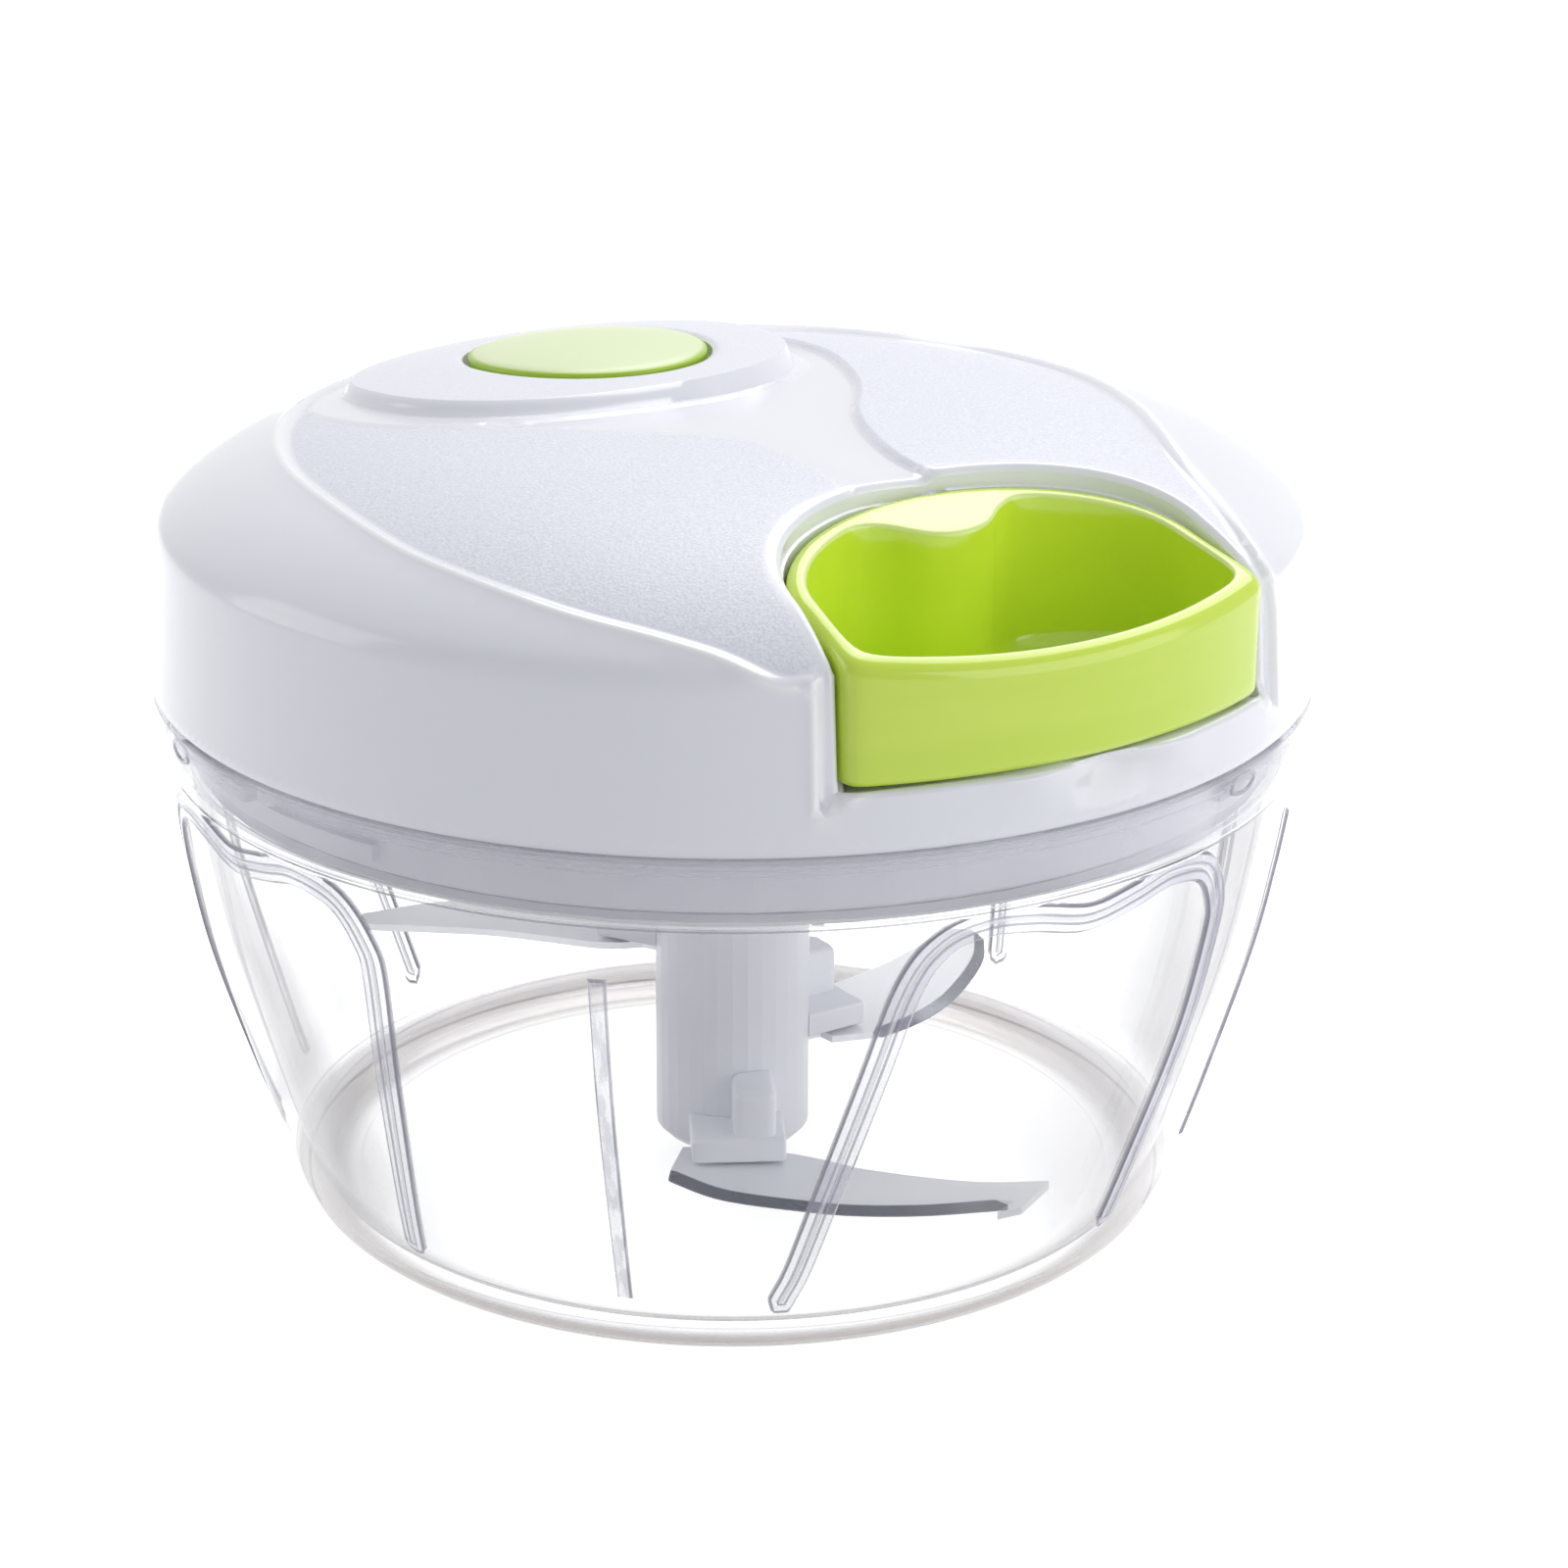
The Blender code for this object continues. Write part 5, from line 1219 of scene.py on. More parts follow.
def button_cap(material):
    """Cap, skirt and clip groove of the brake button, turned about its own axis."""
    top = BUTTON_HIGH[2]
    edge_z = top - BUTTON_CROWN - BUTTON_EDGE_DROP
    cap_z = top - CAP_HIGH
    groove_top = cap_z - GROOVE_DROP
    groove_foot = groove_top - GROOVE_HIGH
    skirt_r = BUTTON_R - SKIRT_WALL
    under = [(0.0, BUTTON_LOW[2]), (STEM_R, BUTTON_LOW[2]), (STEM_R, groove_foot), (GROOVE_R, groove_foot),
             (GROOVE_R, groove_top), (STEM_R, groove_top), (STEM_R, top - CAP_SKIN, 0.6),
             (skirt_r, top - CAP_SKIN - 0.5, 0.6), (skirt_r, cap_z), (BUTTON_R, cap_z)]
    crown = [(BUTTON_R, edge_z - 0.5)]
    for inset, drop in edge_round(CAP_ROUND, 4)[1:]:
        crown.append((BUTTON_R - inset, edge_z - 0.05 - drop))
    for share in np.linspace(0.95, 0, 12):
        crown.append((BUTTON_R * share, edge_z + (top - edge_z) * (1 - share ** 2.4)))
    section = rounded(under) + crown
    points, faces = turned_rows(section, 128, BUTTON_AT)
    points = np.array(points)
    lean = np.clip((points[:, 2] - cap_z) / (edge_z - cap_z), 0, 1)
    dome = dome_height(np.hypot(points[:, 0], points[:, 1])) - dome_height(0.0)
    points[:, 2] += dome * lean
    cap = piece("button_cap", points, faces, material)
    away = np.hypot(*(points[:, :2] - BUTTON_AT).T)
    # The skirt's share, which the button's material paints in shade.
    set_attribute(cap, "skirt", smoothstep(BUTTON_R - 0.75, BUTTON_R - 0.15, away))
    return cap


# Clear bowl

BOWL_STEPS = 256
SECTOR_FIRST = -39
SECTOR_STEPS = BOWL_STEPS // 4
PANEL_LOW_Z = 5.0
PANEL_HIGH_Z = 51.6
LEDGE_R = SEAM_R - 1.42
LEDGE_Z = 52.0
BAND_R = SEAM_R - 0.06
BAND_WALL = 1.7
BOWL_WALL = 2.0
FOOT_R = 45.65
FOOT_RING = 3.6
SOLE_Z = 0.6
FLOOR_Z = 2.1
FLOOR_EDGE_R = 44.2
SEAT_R = 4.0
SEAT_Z = 3.1
PIVOT_HOLE_R = 1.8
PIVOT_HOLE_Z = 1.1
BELLY = [(47.2, 0.55), (48.3, 1.6), (48.95, 3.0), (49.97, 6.0), (52.79, 15.0), (57.1, 30.0), (59.35, 41.0),
         (LEDGE_R, LEDGE_Z)]
BELLY_LINE = curve_through(BELLY, 0.5)
UNROLL_R = 57.0
ARCH = [(-28.5, 7.4), (-26.2, 13.5), (-20.6, 34.7), (-17.8, 44.7), (-14.8, 49.1), (-10.5, 50.6),
        (-5.5, 50.2), (0.5, 48.9), (6.0, 49.8), (11.0, 50.8), (16.5, 49.6), (19.5, 45.6), (20.2, 41.2),
        (19.0, 27.4), (16.0, 8.2)]
ARCH_HALF = 1.45
ARCH_PROUD = 0.5
ARCH_VALLEY = 0.34
VALLEY_EDGE = (0.08, 0.42)
RELIEF_SOFT = 0.18
RIB_AZ = -46.3
RIB_HALF = 0.75
RIB_Z = (7.4, 46.0)
FAR = 5.0
MARK_AT = (21.0, 57.4)
MARK_HALF = (2.3, 0.95)
MARK_BEAD = 0.22
MARK_PROUD = 0.16
MARK_COPIES = 3
MARK_TURN = 360.0 / MARK_COPIES
PANEL_COPIES = BOWL_STEPS // SECTOR_STEPS
PANEL_TURN = 360.0 / PANEL_COPIES
LUG_AZ = 26.0
LUG_SPAN = 16.0
LUG_Z = (56.0, 57.6)
LUG_R = (BAND_R - 2.6, BAND_R - 1.1)


def belly_r(z):
    """Outer radius of the bowl's side at a height."""
    return np.interp(z, BELLY_LINE[:, 1], BELLY_LINE[:, 0])


def from_rib(flat):
    """How far each unrolled point is outside the square ended rib."""
    side = np.abs(flat[:, 0] - math.radians(RIB_AZ) * UNROLL_R) - RIB_HALF
    end = np.maximum(RIB_Z[0] - flat[:, 1], flat[:, 1] - RIB_Z[1])
    return np.maximum(side, end)


def panel_relief(flat, arch):
    """Raised arch, with a fine valley along its middle, and the rib beside it."""
    away, _ = nearest(flat, arch)
    lift = ARCH_PROUD * (1 - smoothstep(ARCH_HALF - RELIEF_SOFT, ARCH_HALF + RELIEF_SOFT, away))
    lift = lift - ARCH_VALLEY * (1 - smoothstep(*VALLEY_EDGE, away))
    rib = ARCH_PROUD * (1 - smoothstep(-RELIEF_SOFT, RELIEF_SOFT, from_rib(flat)))
    return np.maximum(lift, rib)


def arch_line():
    """Middle line of the moulded arch, unrolled."""
    return curve_through([(math.radians(a) * UNROLL_R, z) for a, z in ARCH], 0.85)


def mark_lines(bowl):
    """Distances from the moulded lines, and the oval marks, for the clear plastic's tint and its painted
    dark lines and highlights.
    """
    count = len(bowl.data.vertices)
    points = np.zeros(count * 3)
    bowl.data.vertices.foreach_get("co", points)
    points = points.reshape(-1, 3) / MM
    radius = np.hypot(points[:, 0], points[:, 1])
    azimuth = np.degrees(np.arctan2(points[:, 0], -points[:, 1]))
    first = SECTOR_FIRST * 360.0 / BOWL_STEPS
    local = (azimuth - first) % PANEL_TURN + first
    flat = np.column_stack([np.radians(local) * UNROLL_R, points[:, 2]])
    outside = (radius > belly_r(points[:, 2]) - 0.6) & (points[:, 2] > PANEL_LOW_Z - 0.1) & (
        points[:, 2] < PANEL_HIGH_Z + 0.1)
    for name, away in (("arch", nearest(flat, arch_line())[0]), ("rib", from_rib(flat))):
        set_attribute(bowl, name, np.where(outside, np.minimum(away, FAR), FAR))
    turned = (azimuth - MARK_AT[0] + MARK_TURN / 2) % MARK_TURN - MARK_TURN / 2
    across = np.radians(turned) * radius / MARK_HALF[0]
    up = (points[:, 2] - MARK_AT[1]) / MARK_HALF[1]
    ring = np.abs(np.hypot(across, up) - 1.0)
    set_attribute(bowl, "mark", (ring < 0.4) & (radius > LEDGE_R))


def bowl_panel(tree, material):
    """A quarter of the bowl's side with its moulded lines, repeated four times round."""
    step = 2 * math.pi / BOWL_STEPS * UNROLL_R
    left = SECTOR_FIRST * step
    right = (SECTOR_FIRST + SECTOR_STEPS) * step
    sieve = Sieve()
    for i in range(SECTOR_STEPS + 1):
        for z in (PANEL_LOW_Z, PANEL_HIGH_Z):
            sieve.add((left + i * step, z), 0.0)
    for z in np.linspace(PANEL_LOW_Z, PANEL_HIGH_Z, 36)[1:-1]:
        for u in (left, right):
            sieve.add((u, z), 0.0)
    arch = arch_line()
    for offset in (0.0, 0.1, 0.4, ARCH_HALF - 0.17, ARCH_HALF + 0.17, ARCH_HALF + 0.9):
        for side in (1, -1) if offset else (1,):
            for point in side_step(arch, side * offset, False):
                if PANEL_LOW_Z + 0.4 < point[1] < PANEL_HIGH_Z - 0.2:
                    sieve.add(point, 0.075)
    rib_at = math.radians(RIB_AZ) * UNROLL_R
    for reach in (-0.17, 0.17, 0.8):
        for z in np.arange(RIB_Z[0] - reach, RIB_Z[1] + reach + 0.01, 0.9):
            for side in (-1, 1):
                sieve.add((rib_at + side * (RIB_HALF + reach), z), 0.2)
        for u in np.linspace(-RIB_HALF - reach, RIB_HALF + reach, 5):
            for z in (RIB_Z[0] - reach, RIB_Z[1] + reach):
                sieve.add((rib_at + u, z), 0.2)
    for k, z in enumerate(np.arange(PANEL_LOW_Z + 1.4, PANEL_HIGH_Z - 1.0, 1.5)):
        for i in range(SECTOR_STEPS):
            sieve.add((left + (i + 0.25 + 0.5 * (k % 2)) * step, z), 0.55)
    verts, faces, _ = flat_triangles(sieve, [], lambda middle: np.ones(len(middle), bool))
    lift = panel_relief(verts, arch)
    angle = verts[:, 0] / UNROLL_R
    radius = belly_r(verts[:, 1]) + lift
    points = np.column_stack([radius * np.sin(angle), -radius * np.cos(angle), verts[:, 1]])
    panel = piece("bowl_panel", points, face_up(faces, verts), material)
    return turned_copies(panel, tree, PANEL_COPIES, PANEL_TURN, material)


def bowl_rings():
    """The bowl's turned surfaces: its foot below the panels, then its rim, inside and floor above them."""
    foot_in = FOOT_R - FOOT_RING
    foot = [(0.0, SOLE_Z), (foot_in - 0.1, SOLE_Z, 0.3), (foot_in, 0.35, 0.2), (foot_in + 0.35, 0.0, 0.3),
            (FOOT_R - 0.4, 0.0)]
    belly = [tuple(p) for p in BELLY_LINE if p[1] < PANEL_LOW_Z - 0.3]
    low = rounded(foot) + belly + [(float(belly_r(PANEL_LOW_Z)), PANEL_LOW_Z)]
    inner_side = [(float(belly_r(z)) - BOWL_WALL, z) for z in np.linspace(LEDGE_Z - 0.5, 6.0, 24)]
    high = [(float(belly_r(PANEL_HIGH_Z)), PANEL_HIGH_Z), (LEDGE_R, LEDGE_Z, 0.2),
            (LEDGE_R + 0.28, LEDGE_Z + 0.25, 0.2), (BAND_R, RIM_Z, 0.4), (BAND_R - BAND_WALL, RIM_Z, 0.4),
            (LEDGE_R - 0.8, LEDGE_Z, 0.3), (LEDGE_R - BOWL_WALL, LEDGE_Z, 0.4), *inner_side,
            (FLOOR_EDGE_R + 2.2, FLOOR_Z + 0.85, 0.8), (FLOOR_EDGE_R, FLOOR_Z, 0.8),
            (SEAT_R + 0.6, FLOOR_Z, 0.4), (SEAT_R, FLOOR_Z + 0.3, 0.3), (SEAT_R, SEAT_Z, 0.2),
            (PIVOT_HOLE_R, SEAT_Z, 0.15), (PIVOT_HOLE_R, PIVOT_HOLE_Z), (0.0, PIVOT_HOLE_Z)]
    return low, rounded(high)


def bowl_lug(material):
    """The first of the blocks inside the rim that hold the lid, its edges rounded."""
    bm = bmesh.new()
    steps = 10
    rings = []
    for i in range(steps + 1):
        angle = LUG_AZ - LUG_SPAN / 2 + LUG_SPAN * i / steps
        corners = ((LUG_R[0], LUG_Z[0]), (LUG_R[1], LUG_Z[0]), (LUG_R[1], LUG_Z[1]), (LUG_R[0], LUG_Z[1]))
        rings.append([bm.verts.new([c * MM for c in (*around(r, angle), z)]) for r, z in corners])
    for ring, after in zip(rings, rings[1:]):
        for i in range(4):
            j = (i + 1) % 4
            bm.faces.new((ring[i], after[i], after[j], ring[j]))
    bm.faces.new(rings[0])
    bm.faces.new(rings[-1][::-1])
    bmesh.ops.recalc_face_normals(bm, faces=bm.faces)
    bevel(bm, [e for e in bm.edges if e.calc_face_angle(0) > 0.9], 0.25, 2)
    return object_of("bowl_lug", bm, material)


def bevel(bm, edges, reach, segments):
    """Rounds the given edges of a mesh over a reach in millimetres."""
    bmesh.ops.bevel(bm, geom=edges, offset=reach * MM, segments=segments, profile=0.5, affect="EDGES",
                    clamp_overlap=True)


def detent(material):
    """The small oval mark on the bowl's band, outside each lug."""
    points, faces = [], []
    count, sides = 40, 8
    middle_az, middle_z = MARK_AT
    radius_at = BAND_R - 0.35
    for i in range(count):
        t = 2 * math.pi * i / count
        for k in range(sides):
            s = 2 * math.pi * k / sides
            across = 1 + MARK_BEAD * math.cos(s) / MARK_HALF[1]
            azimuth = middle_az + math.degrees(MARK_HALF[0] * across * math.cos(t) / radius_at)
            z = middle_z + MARK_HALF[1] * across * math.sin(t)
            points.append((*around(radius_at + MARK_PROUD * math.sin(s), azimuth), z))
    for i in range(count):
        here, after = i * sides, (i + 1) % count * sides
        for k in range(sides):
            j = (k + 1) % sides
            faces.append((here + k, here + j, after + j, after + k))
    return piece("bowl_detent", points, faces, material)


def joined(name, parts, material):
    """One object from several, with the points they share made one."""
    bm = bmesh.new()
    for part in parts:
        bm.from_mesh(part.data)
        bpy.data.objects.remove(part)
    bmesh.ops.remove_doubles(bm, verts=bm.verts, dist=SAME_PLACE)
    made = object_of(name, bm, material)
    made.data.shade_smooth()
    made.data.set_sharp_from_angle(angle=math.radians(SHARP))
    return made


def clear_bowl(tree, material):
    """The bowl, with its four moulded quarters, lugs and oval marks."""
    low, high = bowl_rings()
    parts = [bowl_panel(tree, material)]
    for name, section in (("bowl_foot", low), ("bowl_rim", high)):
        parts.append(piece(name, *turned_rows(section, BOWL_STEPS), material))
    bowl = joined("clear_bowl", parts, material)
    marks = [bowl_lug(material), detent(material)]
    marks = [turned_copies(mark, tree, MARK_COPIES, MARK_TURN, material) for mark in marks]
    bowl = joined("clear_bowl", [bowl, *marks], material)
    mark_lines(bowl)
    return bowl


# Blades and their clips

BLADE_AZ = -31.0
BLADE_NAMES = ("lower", "middle", "upper")
LOW_EDGE = [(9.4, -6.0), (16.3, -7.9), (20.2, -3.9), (22.3, -0.2), (24.4, 6.0), (25.8, 11.6), (26.2, 19.1),
            (25.4, 27.2)]
LOW_TIP = [(27.4, 26.9), (26.2, 29.7), (20.0, 33.6)]
LOW_BACK = [(19.7, 25.0), (16.3, 14.3), (13.2, 8.9), (11.4, 5.2)]
HIGH_EDGE = [(9.8, -5.6), (15.5, -7.5), (21.0, -6.6), (27.0, -4.2), (33.0, -0.3), (38.5, 4.4), (42.2, 9.2)]
HIGH_TIP = [(41.6, 11.6), (39.8, 13.2)]
HIGH_BACK = [(33.0, 10.6), (26.5, 8.3), (20.2, 7.1), (14.4, 6.2), (11.4, 5.0)]
TONGUE = [(9.6, 3.5), (5.6, 3.5), (5.6, -3.5), (9.6, -3.5)]
GRIND = 1.3
EDGE_THICK = 0.12
CLIP_SEAT_IN = 2.0
CLIP_RUN = 6.0
CLIP_HALF = 5.2
CLIP_THICK = 2.8
BOSS_RUN = 5.4
BOSS_ACROSS = (-0.55, 4.15)


def spoke(along, across, azimuth=0.0):
    """The place along a radius at an azimuth, and across it towards higher azimuths."""
    angle = math.radians(azimuth)
    sine, cosine = math.sin(angle), math.cos(angle)
    return (along * sine + across * cosine, -along * cosine + across * sine)


def steel_blade(name, azimuth, edge, tip, back, material):
    """A stamped blade with a ground cutting edge."""
    low_corner, high_corner = box_mm(name)
    low_z, high_z = low_corner[2], high_corner[2]
    cutting = curve_through(edge[1:], 0.7)
    trailing = curve_through([tip[-1], *back], 0.7)
    outline = np.vstack([edge[:1], cutting, tip[:-1], trailing, TONGUE])
    plan = evenly(closed_line(np.array([spoke(x, y, azimuth) for x, y in outline])), 0.5, True)
    ground = np.array([spoke(x, y, azimuth) for x, y in cutting])
    rows = Rows()

    def height(x, y):
        away, _ = nearest(np.array([(x, y)]), ground)
        return low_z + EDGE_THICK + (high_z - low_z - EDGE_THICK) * min(float(away[0]) / GRIND, 1.0)

    under = rows.row(plan, low_z)
    over = rows.row(plan, height)
    rows.join(under, over)
    lines = [side_step(ground, GRIND * share, False) for share in (0.35, 0.98, 1.25)]
    rows.fill(over, [], height, grid=1.6, lines=lines)
    rows.fill(under, [], low_z, turned=True, grid=3.0)
    blade = piece(f"{name}_steel", rows.points, rows.faces, material, sharp=12.0)
    away, _ = nearest(np.array(rows.points)[:, :2], ground)
    is_under = np.arange(len(away)) < len(plan)
    set_attribute(blade, "from_edge", np.where(is_under, away + GRIND, away))
    return blade


def rounded_block(name, azimuth, reach, across, levels, soft, material):
    """A block along a radius with its edges rounded."""
    bm = bmesh.new()
    corners = ((reach[0], across[0]), (reach[1], across[0]), (reach[1], across[1]), (reach[0], across[1]))
    plan = [spoke(x, y, azimuth) for x, y in corners]
    base, top = [[bm.verts.new((x * MM, y * MM, z * MM)) for x, y in plan] for z in levels]
    for i in range(4):
        j = (i + 1) % 4
        bm.faces.new((base[i], base[j], top[j], top[i]))
    bm.faces.new(top)
    bm.faces.new(base[::-1])
    bmesh.ops.recalc_face_normals(bm, faces=bm.faces)
    bevel(bm, list(bm.edges), soft, 3)
    return object_of(name, bm, material)


def combine(obj, other, operation):
    """Adds the other object to this one, or cuts it away, and drops it."""
    modifier = obj.modifiers.new(operation.lower(), "BOOLEAN")
    modifier.operation = operation
    modifier.object = other
    modifier.solver = "EXACT"
    plain_mesh(obj)
    bpy.data.objects.remove(other)


def blade_clip(name, azimuth, material):
    """The clip that holds a blade's tongue in the shaft: a slab with a round topped boss."""
    low_corner, high_corner = box_mm(name)
    low, high = low_corner[2], high_corner[2]
    start = SHAFT_R - CLIP_SEAT_IN
    clip = rounded_block(f"{name}_moulded", azimuth, (start, SHAFT_R + CLIP_RUN), (-CLIP_HALF, CLIP_HALF),
                         (low, low + CLIP_THICK), 0.45, material)
    boss = rounded_block("clip_boss", azimuth, (start, SHAFT_R + BOSS_RUN), BOSS_ACROSS, (low + 1.0, high),
                         1.1, material)
    combine(clip, boss, "UNION")
    seat_r = SHAFT_R + 0.02
    seat = [(0.0, low - 1), (seat_r, low - 1), (seat_r, high + 1), (0.0, high + 1)]
    combine(clip, piece("clip_seat", *turned_rows(seat, 96), material), "DIFFERENCE")
    return clip


def blade_unit(metal, white):
    """The three blades and their clips, each with its body, slot and the node it stands for."""
    unit = []
    for i, level in enumerate(BLADE_NAMES):
        azimuth = BLADE_AZ + 120 * i
        plan = (LOW_EDGE, LOW_TIP, LOW_BACK) if level == "lower" else (HIGH_EDGE, HIGH_TIP, HIGH_BACK)
        blade = f"{level}_blade"
        clip = f"{level}_blade_clip"
        unit.append((steel_blade(blade, azimuth, *plan, metal), "blades", "steel", [blade]))
        unit.append((blade_clip(clip, azimuth, white), "blades", "white_shell", [clip]))
    return unit


# Cord

CORD_R = 0.8
CORD_Z = 73.85
DRUM_PATH_R = 13.1
CORD_STEP = 2.1
CORD_LOOPS = 5
LOOP_STEPS = 48
CORD_BEND_Y = -29.2
CORD_TURN = math.degrees(math.acos(DRUM_PATH_R / abs(CORD_BEND_Y)))
KNOT_SCALE = 0.44
KNOT_CORD_R = 0.74
KNOT_STEPS = 120


def tube(name, path, radius, sides, material):
    """A round tube along a path, closed at its ends."""
    path = np.array(path, float)
    run = np.gradient(path, axis=0)
    run /= np.linalg.norm(run, axis=1, keepdims=True)
    upright = np.array([0.0, 0.0, 1.0])
    points, faces = [], []
    for place, way in zip(path, run):
        side = np.cross(way, upright)
        side /= np.linalg.norm(side)
        over = np.cross(side, way)
        for k in range(sides):
            angle = 2 * math.pi * k / sides
            points.append(place + radius * (math.cos(angle) * side + math.sin(angle) * over))
    for i in range(len(path) - 1):
        for k in range(sides):
            j = (k + 1) % sides
            faces.append((i * sides + j, i * sides + k, (i + 1) * sides + k, (i + 1) * sides + j))
    faces.append(tuple(range(sides)))
    last = (len(path) - 1) * sides
    faces.append(tuple(range(last + sides - 1, last - 1, -1)))
    return piece(name, points, faces, material)


def cord_lead(material):
    """From the knot's room through the handle's back, the gap that opens, the eyelet and on to the drum."""
    front_y = CUP_BACK_Y - CUP_WALL
    inside_cup = np.linspace(front_y, CUP_BACK_Y + 0.05, 5)
    opening = np.linspace(CUP_BACK_Y + 0.1, EYELET_Y + 0.05, 60)
    eyelet = np.linspace(EYELET_Y + 0.15, CORD_BEND_Y - 0.6, 6)
    straight = [(0.0, y, CORD_Z) for y in (*inside_cup, *opening, *eyelet)]
    tangent = np.array([*around(DRUM_PATH_R, CORD_TURN), CORD_Z])
    bend = np.array([0.0, CORD_BEND_Y, CORD_Z])
    onwards = [tuple(bend + (tangent - bend) * share) for share in np.linspace(0.05, 0.975, 12)]
    return tube("cord_lead", straight + onwards, CORD_R, 14, material)


def cord_winding(material):
    """The cord's single layer on the drum."""
    path = []
    for i in range(CORD_LOOPS * LOOP_STEPS + 1):
        share = i / LOOP_STEPS
        path.append((*around(DRUM_PATH_R, CORD_TURN + 360 * share), CORD_Z - CORD_STEP * share))
    return tube("cord_winding", path, CORD_R, 12, material)


def cord_knot(material):
    """An overhand knot, drawn tight, in the room behind the handle's boss."""
    middle_y = (2 * CUP_BACK_Y - CUP_WALL - BOSS_DEPTH + 1.5) / 2
    path = []
    for i in range(KNOT_STEPS + 1):
        t = 2 * math.pi * i / KNOT_STEPS
        x = math.sin(t) + 2 * math.sin(2 * t)
        z = math.cos(t) - 2 * math.cos(2 * t)
        path.append((KNOT_SCALE * x, middle_y - KNOT_SCALE * math.sin(3 * t), CORD_Z + KNOT_SCALE * z))
    return tube("knot_in_cord", path, KNOT_CORD_R, 10, material)


# Finishes of the nodes that stay as they are


def dress(nodes, material):
    """Gives each of the nodes one finish."""
    for node in nodes:
        obj = bpy.data.objects[node]
        obj.data.materials.clear()
        obj.data.materials.append(material)


# Room

FLOOR_HALF = 1500
GROUND_Z = -0.4
FULL_WHITE = (1.0, 1.0, 1.0, 1.0)
COOL_WHITE = (0.93, 0.95, 1.0, 1.0)
LAMP_TARGET = (0.0, 0.0, 0.05)


def background_rays(tree):
    """1 for a ray that meets the background straight, through clear plastic or in a reflection, else 0."""
    path = add_node(tree, "ShaderNodeLightPath")
    seen = path["Is Camera Ray"]
    for way in ("Is Glossy Ray", "Is Transmission Ray"):
        seen = add_node(tree, "ShaderNodeMath", {0: seen, 1: path[way]}, operation="MAXIMUM")[0]
    return seen


def stage_material(name, shade, glow):
    """A pale matt surface that the camera sees as white where nothing shades it."""
    material = bpy.data.materials.new(name)
    material.use_nodes = True
    tree = material.node_tree
    tree.nodes.clear()
    matt = add_node(tree, "ShaderNodeBsdfDiffuse", {"Color": (shade, shade, shade, 1.0)})[0]
    scaled = add_node(tree, "ShaderNodeMath", {0: background_rays(tree), 1: glow}, operation="MULTIPLY")[0]
    light = add_node(tree, "ShaderNodeEmission", {"Color": FULL_WHITE, "Strength": scaled})[0]
    both = add_node(tree, "ShaderNodeAddShader", {0: matt, 1: light})[0]
    add_node(tree, "ShaderNodeOutputMaterial", {"Surface": both})
    return material


def room():
    """The white ground below the object."""
    corners = ((-FLOOR_HALF, -FLOOR_HALF), (FLOOR_HALF, -FLOOR_HALF), (FLOOR_HALF, FLOOR_HALF),
               (-FLOOR_HALF, FLOOR_HALF))
    matt = stage_material("studio_floor", 0.8, 0.84)
    floor = piece("studio_floor", [(x, y, GROUND_Z) for x, y in corners], [(0, 1, 2, 3)], matt)


def world_light(strength):
    """A soft cool light from all round, and a white background where a ray sees it."""
    world = bpy.data.worlds.new("studio")
    bpy.context.scene.world = world
    world.use_nodes = True
    tree = world.node_tree
    tree.nodes.clear()
    soft = add_node(tree, "ShaderNodeBackground", {"Color": COOL_WHITE, "Strength": strength})[0]
    seen = add_node(tree, "ShaderNodeBackground", {"Color": FULL_WHITE})[0]
    mixed = add_node(tree, "ShaderNodeMixShader", {0: background_rays(tree), 1: soft, 2: seen})[0]
    add_node(tree, "ShaderNodeOutputWorld", {"Surface": mixed})


def soft_box(name, azimuth, height, distance, size, power):
    """A lamp with a square face, in metres and watts, aimed at the middle of the object."""
    light = bpy.data.lights.new(name, "AREA")
    light.shape = "RECTANGLE"
    light.size, light.size_y = size
    light.energy = power
    made = bpy.data.objects.new(name, light)
    bpy.context.scene.collection.objects.link(made)
    made.location = (*around(distance, azimuth), height)
    look_at(made, LAMP_TARGET)


def look_at(made, target):
    """Turns a lamp or the camera towards a place."""
    aim = Vector(target) - made.location
    made.rotation_euler = aim.to_track_quat("-Z", "Y").to_euler()


# Camera: the photograph's angle, distance and framing

VIEW_AZ = -34.0
VIEW_RISE = 19.913
VIEW_REACH = 0.39996
VIEW_TARGET = (0.0, 0.0, 0.045)
FOCAL_PIXELS = 3717.48
FRAME_PIXELS = 1600.0
AXIS_PIXEL = (747.38, 794.18)
SENSOR_WIDTH = 36.0


def camera():
    """The camera that took the photograph, as fitted to the object's outlines."""
    data = bpy.data.cameras.new("photo_view")
    data.sensor_width = SENSOR_WIDTH
    data.lens = FOCAL_PIXELS / FRAME_PIXELS * SENSOR_WIDTH
    data.shift_x = (FRAME_PIXELS / 2 - AXIS_PIXEL[0]) / FRAME_PIXELS
    data.shift_y = (AXIS_PIXEL[1] - FRAME_PIXELS / 2) / FRAME_PIXELS
    data.clip_start = 0.01
    made = bpy.data.objects.new("photo_view", data)
    bpy.context.scene.collection.objects.link(made)
    rise = math.radians(VIEW_RISE)
    x, y = around(VIEW_REACH * math.cos(rise), VIEW_AZ)
    made.location = Vector(VIEW_TARGET) + Vector((x, y, VIEW_REACH * math.sin(rise)))
    look_at(made, VIEW_TARGET)
    bpy.context.scene.camera = made


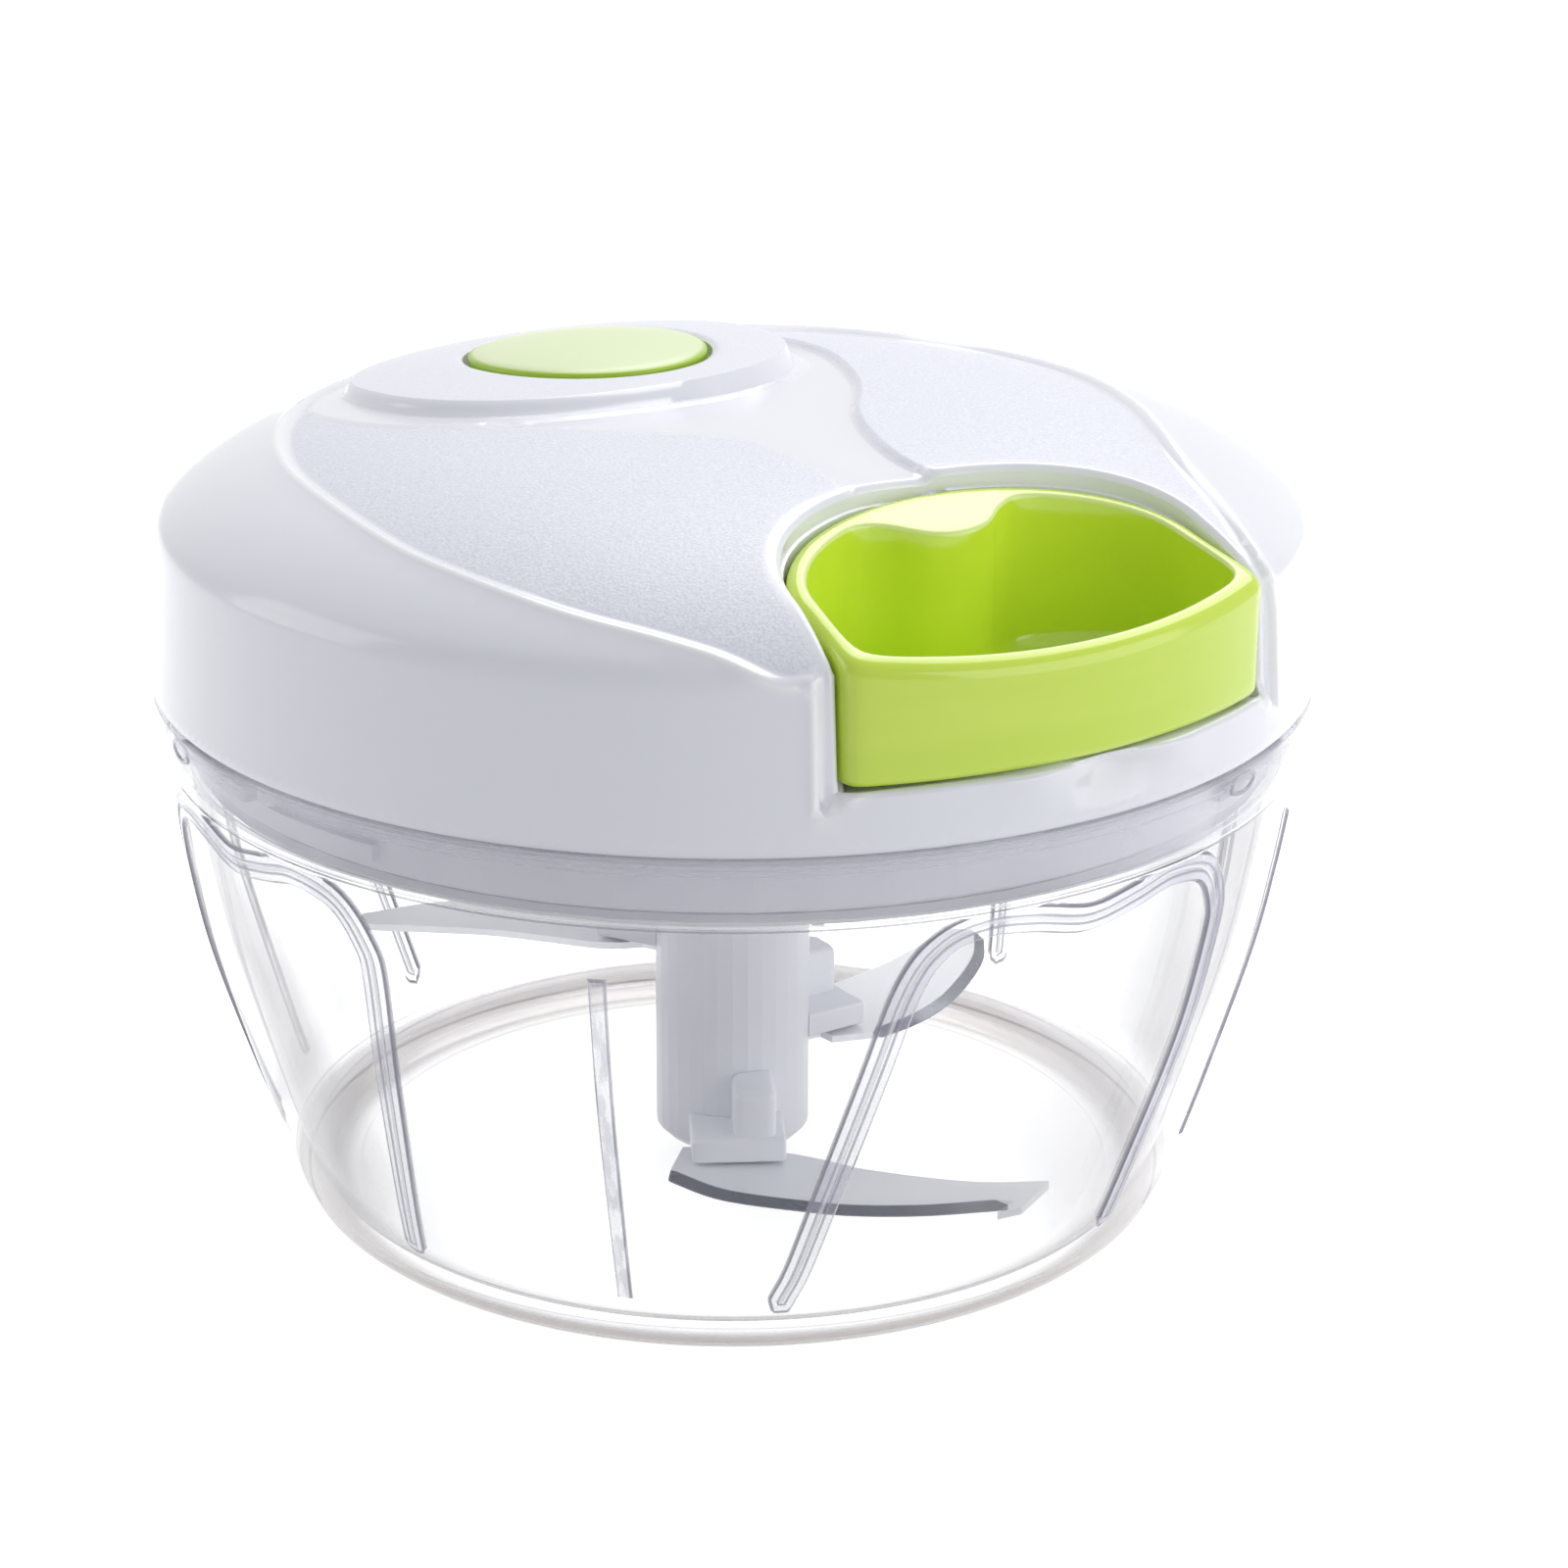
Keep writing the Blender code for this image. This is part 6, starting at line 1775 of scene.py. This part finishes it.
def build():
    """Makes every piece that replaces a node, and dresses the nodes that stay."""
    tree = round_tree()
    white = shell_white()
    inner_white = shell_smooth("inner_white", (0.84, 0.85, 0.90), (0.89, 0.90, 0.94), 0.3)
    clip_white = shell_smooth("clip_white", (0.88, 0.89, 0.94), (0.92, 0.93, 0.97), 0.28)
    clear = clear_styrene()
    cord = twisted_cord()
    bowl = clear_bowl(tree, clear)
    cover = lid_cover(white)
    cup = pull_cup(lime_gloss())
    cap = button_cap(button_lime())
    blade_metal = blade_steel()
    lead = cord_lead(cord)
    winding = cord_winding(cord)
    knot = cord_knot(cord)

    for made, body, slot, nodes in (
            (bowl, "bowl", "clear_bowl", ["bowl"]), (cover, "lid", "white_shell", ["lid_top_cover"]),
            (cup, "handle", "lime", ["pull_handle"]), (cap, "button", "pale_lime", ["brake_button"]),
            (winding, "reel", "cord", ["pull_cord_winding"]), (knot, "handle", "cord", ["cord_knot"]),
            *blade_unit(blade_metal, clip_white)):
        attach(made, body)
        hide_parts(*nodes)
    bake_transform(lead)
    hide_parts("pull_cord_lead")

    steel = turned_metal("turned_steel", (0.50, 0.51, 0.53), (0.64, 0.65, 0.67), 0.22)
    screws = [f"{place}_screw_{i}" for place in ("housing", "lid") for i in (1, 2, 3)]
    dress(["lid_base"], inner_white)
    dress(["blade_shaft"], clip_white)
    dress(["seal_ring"], shell_smooth("silicone", (0.70, 0.71, 0.74), (0.78, 0.79, 0.82), 0.5))
    dress(["bowl_pivot_pin", "cord_eyelet", "centre_axle", *screws, "rewind_spring",
           "pawl_pin_a", "pawl_pin_b", "button_retaining_clip", "button_spring"], steel)
    dress(["drive_bush"], turned_metal("brass", (0.62, 0.42, 0.16), (0.74, 0.55, 0.25), 0.3))
    dress(["reel_housing", "housing_cover"],
          shell_smooth("grey_abs", (0.15, 0.155, 0.165), (0.20, 0.205, 0.215), 0.5))
    dress(["cord_reel", "reel_top_flange", "pawl_a", "pawl_b", "drive_hub", "shaft_bush"],
          shell_smooth("nylon", (0.60, 0.60, 0.57), (0.70, 0.70, 0.67), 0.5))
    dress(["brake_pad"], shell_smooth("rubber", (0.012, 0.012, 0.012), (0.022, 0.022, 0.022), 0.75))


bpy.context.scene.view_settings.view_transform = "Standard"
build()
room()
world_light(0.425)
soft_box("key", 32.0, 0.28, 0.9, (0.8, 0.7), 3.2)
soft_box("fill", -124.0, 0.35, 0.9, (0.6, 0.6), 1.7)
soft_box("top", 118.0, 0.85, 0.6, (0.9, 0.7), 6.4)
camera()
